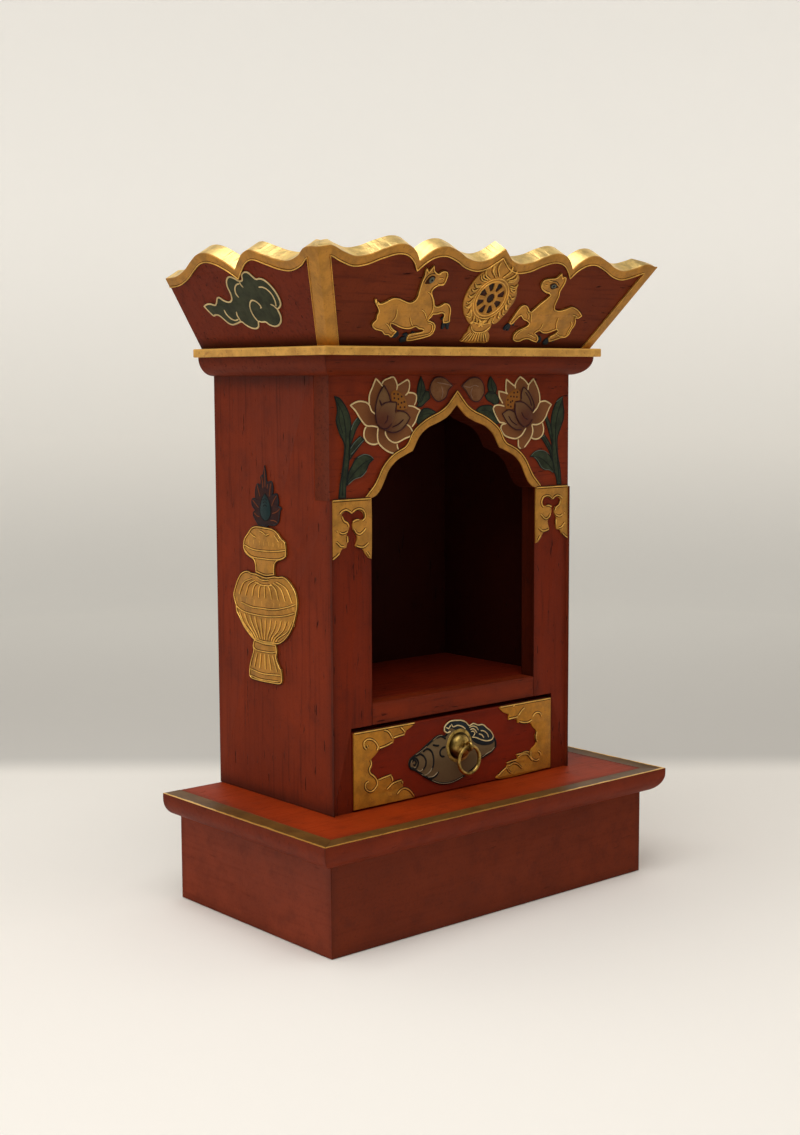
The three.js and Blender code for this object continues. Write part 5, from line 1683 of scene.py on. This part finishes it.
def lotus_leaves(side, parts):
    height = sizes().paint_height / MM - 0.2
    face = "front"
    made = []
    dark = finish_named("leaf_outline", painted, (0.10, 0.12, 0.11))
    pale = finish_named("leaf_light", painted, (0.36, 0.39, 0.34))
    for step, line in enumerate(parts["leaves"]):
        edge = soft(line, True)
        made.append(plate("leaf", [edge], height + 0.03 * step, face, leaf(), 0.25))
        made.append(ridge("edge", [inset(edge, 0.35)], 1.0, 0.35, height - 0.05, face, dark, True))
    made.append(ridge("veins", soft_lines(parts["veins"]), 0.6, 0.35, height, face, dark))
    made.append(ridge("pale", soft_lines(parts["pale"]), 0.6, 0.35, height + 0.15, face, pale))
    bud = finish_named("bud_brown", painted, (0.43, 0.26, 0.14), (0.46, 0.31, 0.19))
    edge = soft(parts["bud"], True)
    made.append(plate("bud", [edge], height + 0.25, face, bud, 0.3))
    made.append(ridge("bud_rim", [inset(edge, 0.3)], 0.9, 0.35, height + 0.2, face, mauve(), True))
    light = finish_named("bud_light", painted, (0.55, 0.42, 0.34))
    made.append(ridge("bud_lines", soft_lines(parts["bud_lines"]), 0.6, 0.35, height + 0.25, face, light))
    joined(sided("lotus_leaves", side), made, "cabinet")


# ---- brackets under the arch

BRACKET = [
    [(-111.6, 290.9)], [(-77.8, 290.9), (-77.6, 280), (-77.7, 262)],
    [(-78, 250.6), (-80.5, 251.5), (-83.5, 254.5), (-85.5, 257.5), (-88, 258.2)],
    [(-91, 259), (-92.2, 260.6), (-91, 263)],
    [(-90.3, 266), (-91, 267.5), (-93, 270), (-94.3, 273), (-93.8, 275.8), (-91, 277), (-88, 277.4),
     (-85, 277.8), (-84.4, 280), (-86, 282.7), (-89, 283.8), (-92.5, 283)],
    [(-94.4, 281.9), (-96.5, 282.5), (-99, 283.6), (-101.5, 283.2), (-103.4, 281.5), (-103, 279),
     (-101.5, 277.3), (-99.5, 277), (-97.7, 275.8), (-97, 273), (-98.4, 270)],
    [(-99.5, 268), (-98.7, 265.5), (-99, 262)],
    [(-99.8, 259.6), (-103.4, 258.8), (-105, 256.5), (-108, 254.2)], [(-111.6, 252), (-111.7, 270)]]
BRACKET_LINES = [
    [(-111, 291.2), (-78.4, 291.2)],
    [(-105.4, 282), (-103.4, 283.8), (-100, 284.8), (-97, 283.6), (-94.9, 282.2)],
    [(-94.6, 282.8), (-92, 284.4), (-88.6, 285), (-85.2, 283.8), (-83.6, 281), (-84, 278.4), (-86, 276.8)],
    [(-94.2, 276.4), (-91.6, 277.6), (-88.6, 277.6)],
    [(-93, 271.6), (-91.4, 269.2), (-88.4, 267.9), (-85.4, 269.4), (-82.8, 271.6)],
    [(-91.6, 260.4), (-88.6, 259.4), (-85, 259.2), (-82.2, 260.6), (-80.8, 262)],
    [(-103.6, 280.8), (-101.6, 277.4), (-98.8, 275.9), (-97.6, 273.4)],
    [(-98.6, 270.4), (-101.6, 269.2), (-104, 269.4), (-105.6, 270.4)], [(-108.4, 271.4), (-107.2, 271)],
    [(-108.6, 264), (-107, 263), (-104.8, 261), (-101.6, 260.4)], [(-99, 267.4), (-98.9, 263)],
    [(-111.4, 252.6), (-108, 254.6), (-105.6, 256.4)], [(-82.6, 256), (-79.8, 252.4)]]


def gilt_piece(name, runs, lines, body, side=-1):
    """A flat gilt fitting on the front with raised lines, mirrored for the right side."""
    height = sizes().gilt_height / MM
    width = sizes().line_width / MM
    edge = outline(runs)
    curves = soft_lines(lines, 0.6)
    if side > 0:
        edge = flipped(edge)
        curves = [flipped(line) for line in curves]
    warm = finish_named("gilded_drawer", gilding, (0.73, 0.49, 0.12)) if body == "drawer" else gold()
    made = [plate(name, [edge], height, "front", warm, 0.3)]
    made += contour("lines", curves, width * 1.15, 0.75, height - 0.1, "front", highlit_gold())
    joined(name, made, body)


def brackets():
    gilt_piece("bracket_left", BRACKET, BRACKET_LINES, "cabinet")
    gilt_piece("bracket_right", BRACKET, BRACKET_LINES, "cabinet", 1)


# ---- drawer front figures

CORNER_LEFT = [
    [(-94.8, 133.2)], [(-39.4, 133.2), (-43, 131)],
    [(-47.6, 129), (-49, 127), (-49.6, 125.8), (-54, 125.4)],
    [(-59, 124.6), (-59.6, 122.2), (-62, 121), (-67, 119.9)], [(-72, 119.4), (-74, 117.6), (-76.6, 115.4)],
    [(-79.4, 113.8), (-79, 111), (-78.7, 109), (-80.2, 106)], [(-80.2, 104.4), (-77, 101.6)],
    [(-74.4, 98.4), (-71, 98.8), (-66, 99)], [(-61.6, 100.2), (-60.6, 97)], [(-61.4, 94), (-57, 94.4)],
    [(-52, 95), (-51, 91.6)], [(-51.4, 88.6), (-48, 88.4), (-44.6, 86)], [(-40.6, 80.4)], [(-94.8, 80.4)]]
CORNER_LEFT_LINES = [
    [(-94.4, 133.3), (-40.4, 133.3)],
    [(-83.6, 121), (-85.8, 123), (-86, 126), (-83.4, 127.8), (-79.6, 127.4), (-76, 125), (-73.8, 121.4),
     (-74.8, 118.6)], [(-82.4, 121.6), (-83.4, 124)],
    [(-68.4, 132.2), (-64.6, 130.8), (-62, 127.6), (-60.6, 125.2)],
    [(-53.6, 132.2), (-51, 130), (-49.4, 128)], [(-59.6, 125.6), (-55, 126.2), (-49.8, 126.6)],
    [(-72.4, 120.2), (-66, 121.2), (-60.4, 122.8)],
    [(-80.4, 113.4), (-79.8, 110), (-81.6, 106.6), (-80.6, 104), (-77.2, 101.2), (-74.8, 98), (-74.6, 95.2),
     (-76.8, 92.4), (-80, 91.2), (-83.2, 92.4), (-85.2, 95), (-84.6, 97.6), (-82, 98.6)],
    [(-73, 98.4), (-68, 99.2), (-62, 100)], [(-62.2, 99.4), (-61, 97), (-60.8, 95)],
    [(-66, 90.2), (-64, 91.6), (-61, 93.6), (-57, 94.4), (-52.4, 94.8)], [(-52, 94), (-51.4, 91.8)],
    [(-57, 85), (-54, 87.6), (-50.6, 88.6), (-46, 86.8), (-42.4, 83.2), (-41, 81)]]
CORNER_RIGHT = [
    [(94.8, 133.2)], [(41, 133.2), (45, 129.4)], [(51, 126.8), (50.8, 125)], [(50.6, 122.8), (56, 122.4)],
    [(59.6, 121.8), (59.8, 119.2), (64, 118.6), (70, 117.6)], [(74, 117), (76, 113.6), (78.6, 111.6)],
    [(79.6, 109), (78, 107), (78.6, 104)], [(79.8, 102), (78, 99.6), (75, 98)],
    [(73, 95.6), (68, 96.2), (62, 95.4)], [(58.4, 95.6), (60, 93.4)], [(59.6, 91.4), (54, 91.4)],
    [(48.6, 91), (50, 89.6)], [(48.4, 87.6), (44, 85.6)], [(38, 81.8), (40, 80.4)], [(94.8, 80.4)]]
CORNER_RIGHT_LINES = [
    [(94.4, 133.3), (42, 133.3)], [(75.4, 121.6), (77.6, 123.8), (80.6, 124.4), (83.6, 123), (84.6, 120.6)],
    [(60.6, 124.6), (63.4, 127.4), (67, 129.8)], [(55, 132.2), (57, 132.6)],
    [(51, 123.4), (55, 123.6), (60, 123.8)], [(61.6, 120), (66, 118.8), (71, 118.4), (75, 119.6)],
    [(59, 95.6), (64, 95.8), (68, 96.4), (72, 95.8)],
    [(73.4, 96), (73.8, 92), (76.4, 89.2), (80, 88), (82.6, 89)], [(81.2, 95), (83.4, 93.4), (84.2, 91)],
    [(60.4, 93.6), (65, 95), (69.6, 94.4), (73, 91.6), (75.6, 88.6)], [(49, 91), (54, 91.6), (59.4, 91.8)],
    [(50.6, 88.6), (56, 89.8), (60, 88.4), (64.6, 84.6)], [(40, 82.8), (44.6, 85.6), (48.6, 87.8)],
    [(49, 87.4), (51, 84.6), (53.4, 82.8)], [(80, 110), (79, 106), (80.4, 102)]]
CONCH = [
    (-45.6, 104.6), (-44.4, 108), (-41, 110), (-36, 112.2), (-31, 115), (-26, 117.6), (-21, 120.4),
    (-16.4, 121.2), (-12, 120), (-9.6, 121.6), (-13, 124), (-12, 126.4), (-9, 129.2), (-5, 130), (0, 129.6),
    (4, 129), (9, 126.6), (12, 124.4), (16, 125.2), (20.4, 123.6), (25, 123.2), (29.4, 120), (33.6, 116.6),
    (36, 112.6), (38.4, 109), (38.4, 105), (35, 101.8), (30, 100), (24, 98.4), (18, 92.6), (12, 89.8),
    (6, 87.4), (0, 85.6), (-8, 84.8), (-15, 85.6), (-22, 88.2), (-28, 91.4), (-34, 95.4), (-40, 99.2),
    (-44, 101)]
CONCH_DARK = [
    [(-44.8, 104.4), (-44, 107.2), (-41, 108.4), (-38, 107.2), (-36.8, 104.4), (-38, 101.6), (-41, 100.8),
     (-43.6, 102)],
    [(-42.4, 105.4), (-41.4, 107), (-39.4, 106.4), (-38.8, 104.4), (-40, 103), (-41.6, 104)],
    [(-39.4, 109.4), (-35, 110.2), (-31.4, 108), (-29.6, 104.4), (-30.4, 100.8), (-32.8, 98.4)],
    [(-32.6, 111.4), (-28.4, 113), (-24.6, 110.8), (-22.6, 106), (-22.6, 101), (-24.4, 97)],
    [(-23.4, 115.2), (-19.6, 114), (-17, 113.8)], [(-20, 119.6), (-15, 120), (-10.6, 117.4)],
    [(-11, 112), (-14.4, 111.4), (-16.4, 109), (-15.4, 106), (-12, 105)],
    [(-33, 95), (-27, 91.8), (-21, 92), (-17.4, 95)],
    [(36.4, 112), (37.6, 108.6), (37.2, 104.6), (33, 101.4), (27, 99.4), (23, 98.2)]]
CONCH_PALE = [
    [(-41, 101.4), (-38.6, 101.6)], [(-38, 99.4), (-35, 98.2), (-32, 99.4)],
    [(-34.6, 95.8), (-30, 94.6), (-26, 96.4), (-23.4, 99.4)], [(-28, 92.6), (-22.6, 92.6), (-18.6, 95)],
    [(-24.6, 90), (-16, 86.4), (-6, 85.4), (1, 86.6), (6, 88)],
    [(-40, 110.2), (-34, 112.6), (-28.6, 115.2)], [(-24, 118), (-18, 120.8), (-14, 120.6)],
    [(23.6, 98.8), (29, 101), (34.4, 102.6), (37, 105)], [(-43.6, 105), (-42.4, 107.6)]]
RUFFLE = [
    (-12.4, 124.4), (-11.4, 127), (-8, 129.2), (-4, 129.6), (0, 129.2), (4, 128.6), (8.4, 126.6),
    (11.6, 124.2), (15.6, 124.9), (20.2, 123.2), (24.8, 122.8), (29.2, 119.6), (33.2, 116.2), (35.2, 112.6),
    (37, 109.4), (34, 107.4), (28, 107.2), (22, 108.6), (16.4, 111.4), (12, 116), (5, 121.6), (-1, 122.4),
    (-6, 124.6), (-9, 122.4)]
RUFFLE_PALE = [
    [(-6.4, 122.4), (-9.8, 121.9), (-12.6, 123.8), (-11.8, 126.8), (-8, 129.4), (-4, 129.8), (0, 129.4),
     (4, 128.8), (8.4, 126.8), (11.6, 124), (15.6, 124.9), (20.2, 123.2), (24.8, 122.8), (29.2, 119.6),
     (33.2, 116.4), (35.2, 112.8), (34, 110.8), (29, 110.4), (24, 111.8), (18, 114.4), (14, 115.4)],
    [(-6, 127.6), (-4, 125.4), (0, 125.8), (4.6, 124.4), (8, 122)],
    [(-11, 126), (-8.4, 124.6), (-6.4, 126.8)], [(11.4, 122.6), (15, 123.2), (18.6, 121.8), (20.6, 119.4)],
    [(12.4, 121), (15.4, 121.2), (17.6, 119.6), (19.2, 117.6)],
    [(22.6, 118.8), (26, 118), (29.4, 115.4), (30.6, 112.8)], [(20.8, 116.8), (24, 115.4), (26, 113)],
    [(13.4, 119.4), (15.6, 119.4), (17, 117.8), (15.6, 115.6)]]


def conch():
    height = sizes().paint_height / MM
    face = "front"
    shell = finish_named("shell_paint", painted, (0.47, 0.385, 0.265), (0.40, 0.32, 0.22))
    edge = soft(CONCH, True)
    made = [plate("conch", [edge], height, face, shell, 0.3)]
    made.append(ridge("rim", [inset(edge, 0.6)], 1.8, 0.45, height - 0.1, face, ink(), True))
    made.append(ridge("whorls", soft_lines(CONCH_DARK), 1.6, 0.5, height - 0.05, face, ink()))
    made.append(plate("ruffle", [soft(RUFFLE, True)], height + 0.25, face, navy(), 0.3))
    frill = soft_lines(RUFFLE_PALE, 0.6)
    made.append(ridge("frill", frill, 0.95, 0.45, height + 0.15, face, cream()))
    pale = finish_named("shell_light", painted, (0.60, 0.52, 0.40))
    made.append(ridge("lights", soft_lines(CONCH_PALE), 0.65, 0.4, height, face, pale))
    joined("conch", made, "drawer")


def drawer_figures():
    gilt_piece("drawer_corner_left", CORNER_LEFT, CORNER_LEFT_LINES, "drawer")
    gilt_piece("drawer_corner_right", CORNER_RIGHT, CORNER_RIGHT_LINES, "drawer")
    conch()


# ---- stage

CAMERA_PLACE = (-0.7851, -0.8943, 0.3712)
# Yaw, pitch and roll, in radians.
CAMERA_TURN = (-0.7085, -0.1136, -0.0043)
CAMERA_LENS = 52.67
# The level direction the camera looks along.
VIEW_LINE = (0.6507, 0.7593, 0.0)
TENT_RADIUS = 1.75
TENT_HEIGHT = 2.1


def paper(shade):
    return paint((0.975 * shade, 0.955 * shade, 0.922 * shade))


def tent_finish():
    """Pale paper with painted light: it glows softly behind and beside the cabinet, is painted darker where
    it turns up and dim in front.
    """
    look = Finish("tent_paper")
    line = look.node("ShaderNodeVectorMath", {"operation": "DOT_PRODUCT"}, {0: look.place, 1: VIEW_LINE})
    along = Wire(look, line.outputs["Value"])
    height = look.axes()[2]
    # Painted light: a soft step in tone along a line behind the cabinet.
    behind = look.fade(along, 0.34, 0.43)
    rise = look.fade(height, 0.0, 0.7)
    front = look.fade(along, 0.2, -0.8)
    # Bright paper near the cabinet; behind the step, painted shade darkening the wall towards its foot.
    tone = look.blend(behind, paper(0.99), look.blend(look.fade(height, 0.0, 0.3), paper(0.80), paper(0.91)))
    # Painted shade on the paper in front, rising from the floor.
    tone = look.blend(look.fade(height, 0.02, 0.25) * front, tone, paper(0.68))
    # A painted glow, dim at the wall's foot and brighter up it, only behind the step.
    foot = look.blend(look.fade(along, 0.45, 1.5), paint((0.20, 0.20, 0.19)), paint((0.44, 0.44, 0.425)))
    glow = look.blend(rise, foot, paint((0.65, 0.645, 0.63)))
    glow = look.blend(behind * (1 - front), paint((0, 0, 0)), glow)
    return look.finish(tone, 0.9, glow=glow)


def backdrop():
    """A round paper tent: a floor that turns up all round into a wall."""
    clear_selection()
    bpy.ops.mesh.primitive_circle_add(vertices=96, radius=TENT_RADIUS, fill_type="NGON",
                                      location=(0, 0, -0.0003))
    tent = bpy.context.object
    tent.name = "backdrop"
    bpy.ops.object.transform_apply(location=True)
    bpy.ops.object.mode_set(mode="EDIT")
    bpy.ops.mesh.select_mode(type="EDGE")
    bpy.ops.mesh.select_all(action="SELECT")
    bpy.ops.mesh.region_to_loop()
    bpy.ops.mesh.extrude_edges_move(TRANSFORM_OT_translate={"value": (0, 0, TENT_HEIGHT)})
    bpy.ops.object.mode_set(mode="OBJECT")
    round_edges(tent, 0.25, 12, lambda co: co.z < 0.1)
    tent.data.materials.append(tent_finish())
    mend(tent)
    if max(tent.data.polygons, key=lambda face: face.area).normal.z < 0:
        tent.data.flip_normals()
    smooth_by_angle(tent, 60)


def soft_light(name, place, aim, size, strength):
    """A square diffusing panel; strength is its brightness beside white paper in full light."""
    clear_selection()
    bpy.ops.object.light_add(type="AREA", location=place)
    light = bpy.context.object
    light.name = name
    light.data.shape = "SQUARE"
    light.data.size = size
    light.data.energy = strength * math.pi * size * size
    light.rotation_euler = (Vector(aim) - Vector(place)).to_track_quat("-Z", "Y").to_euler()


def stage():
    backdrop()
    soft_light("top_panel", place=(-0.5, -0.35, 1.5), aim=(-0.2, -0.2, 0), size=1.5, strength=3.4)
    world = bpy.data.worlds.new("soft_room")
    bpy.context.scene.world = world
    world.use_nodes = True
    ground = next(node for node in world.node_tree.nodes if node.type == "BACKGROUND")
    ground.inputs["Color"].default_value = (0.93, 0.95, 1.0, 1)
    ground.inputs["Strength"].default_value = 0.06
    clear_selection()
    bpy.ops.object.camera_add(location=CAMERA_PLACE)
    camera = bpy.context.object
    yaw, pitch, roll = CAMERA_TURN
    turn = (Matrix.Rotation(yaw, 4, "Z") @ Matrix.Rotation(math.pi / 2 + pitch, 4, "X")
            @ Matrix.Rotation(roll, 4, "Z"))
    camera.rotation_euler = turn.to_euler()
    camera.data.lens = CAMERA_LENS
    camera.data.sensor_width = 36
    camera.data.clip_start = 0.01
    bpy.context.scene.camera = camera
    bpy.context.scene.view_settings.view_transform = "Standard"


# ---- operators

class ALTAR_OT_plinth(bpy.types.Operator):
    """Plinth boards and the moulded border round their top"""
    bl_idname = "altar.plinth"
    bl_label = "Plinth"

    def execute(self, context):
        plinth()
        return {"FINISHED"}


class ALTAR_OT_cabinet(bpy.types.Operator):
    """Sides, stiles, rail, niche floor, back, arch board and shelf"""
    bl_idname = "altar.cabinet"
    bl_label = "Cabinet boards"

    def execute(self, context):
        cabinet_boards()
        return {"FINISHED"}


class ALTAR_OT_cornice(bpy.types.Operator):
    """Quarter-round cornice on three sides"""
    bl_idname = "altar.cornice"
    bl_label = "Cornice"

    def execute(self, context):
        cornice()
        return {"FINISHED"}


class ALTAR_OT_crown(bpy.types.Operator):
    """Three leaning crown boards with waved tops"""
    bl_idname = "altar.crown"
    bl_label = "Crown boards"

    def execute(self, context):
        crown_boards()
        return {"FINISHED"}


class ALTAR_OT_drawer(bpy.types.Operator):
    """Drawer front and box"""
    bl_idname = "altar.drawer"
    bl_label = "Drawer"

    def execute(self, context):
        drawer_boards()
        return {"FINISHED"}


class ALTAR_OT_pull(bpy.types.Operator):
    """Brass boss, eye and ring"""
    bl_idname = "altar.pull"
    bl_label = "Ring pull"

    def execute(self, context):
        pull()
        return {"FINISHED"}


class ALTAR_OT_bands(bpy.types.Operator):
    """Gilt bands along the crown's edges and the arch"""
    bl_idname = "altar.bands"
    bl_label = "Gilt bands"

    def execute(self, context):
        crown_bands()
        arch_band()
        return {"FINISHED"}


class ALTAR_OT_deer(bpy.types.Operator):
    """Two kneeling deer on the crown"""
    bl_idname = "altar.deer"
    bl_label = "Deer"

    def execute(self, context):
        both_deer()
        return {"FINISHED"}


class ALTAR_OT_wheel(bpy.types.Operator):
    """Flaming wheel on a lotus foot"""
    bl_idname = "altar.wheel"
    bl_label = "Wheel"

    def execute(self, context):
        wheel()
        return {"FINISHED"}


class ALTAR_OT_clouds(bpy.types.Operator):
    """Painted clouds on the crown's sides"""
    bl_idname = "altar.clouds"
    bl_label = "Clouds"

    def execute(self, context):
        for face in ("crown_left", "crown_right"):
            cloud(face)
        return {"FINISHED"}


class ALTAR_OT_vases(bpy.types.Operator):
    """Gilt vases with flaming jewels on the cabinet's sides"""
    bl_idname = "altar.vases"
    bl_label = "Vases"

    def execute(self, context):
        for face in ("left", "right"):
            vase(face)
            jewel(face)
        return {"FINISHED"}


class ALTAR_OT_lotus(bpy.types.Operator):
    """Lotus flowers, buds and leaves over the arch"""
    bl_idname = "altar.lotus"
    bl_label = "Lotus spandrels"

    def execute(self, context):
        for side, parts in ((-1, LOTUS_LEFT), (1, LOTUS_RIGHT)):
            lotus_leaves(side, parts)
            lotus(side, parts)
        return {"FINISHED"}


class ALTAR_OT_brackets(bpy.types.Operator):
    """Gilt brackets at the foot of the arch"""
    bl_idname = "altar.brackets"
    bl_label = "Brackets"

    def execute(self, context):
        brackets()
        return {"FINISHED"}


class ALTAR_OT_drawer_figures(bpy.types.Operator):
    """Gilt corners and a painted conch on the drawer front"""
    bl_idname = "altar.drawer_figures"
    bl_label = "Drawer figures"

    def execute(self, context):
        drawer_figures()
        return {"FINISHED"}


class ALTAR_OT_stage(bpy.types.Operator):
    """Paper tent, soft light and camera"""
    bl_idname = "altar.stage"
    bl_label = "Stage"

    def execute(self, context):
        stage()
        return {"FINISHED"}


PIECES = (
    ALTAR_OT_plinth, ALTAR_OT_cabinet, ALTAR_OT_cornice, ALTAR_OT_crown, ALTAR_OT_drawer, ALTAR_OT_pull,
    ALTAR_OT_bands, ALTAR_OT_deer, ALTAR_OT_wheel, ALTAR_OT_clouds, ALTAR_OT_vases, ALTAR_OT_lotus,
    ALTAR_OT_brackets, ALTAR_OT_drawer_figures, ALTAR_OT_stage)


class ALTAR_PT_panel(bpy.types.Panel):
    """Sizes, colours and the pieces of the altar cabinet"""
    bl_idname = "ALTAR_PT_panel"
    bl_label = "Altar Cabinet"
    bl_space_type = "VIEW_3D"
    bl_region_type = "UI"
    bl_category = "Altar"

    def draw(self, context):
        layout = self.layout
        for group in (context.scene.altar_sizes, context.scene.altar_colours):
            for name in group.__annotations__:
                layout.prop(group, name)
        for piece in PIECES:
            layout.operator(piece.bl_idname)


CLASSES = (AltarSizes, AltarColours, *PIECES, ALTAR_PT_panel)


def register():
    for item in CLASSES:
        bpy.utils.register_class(item)
    bpy.types.Scene.altar_sizes = bpy.props.PointerProperty(type=AltarSizes)
    bpy.types.Scene.altar_colours = bpy.props.PointerProperty(type=AltarColours)


def unregister():
    del bpy.types.Scene.altar_colours
    del bpy.types.Scene.altar_sizes
    for item in reversed(CLASSES):
        bpy.utils.unregister_class(item)


def main():
    register()
    for piece in PIECES:
        group, name = piece.bl_idname.split(".")
        getattr(getattr(bpy.ops, group), name)()
    clear_selection()


if __name__ == "__main__":
    main()
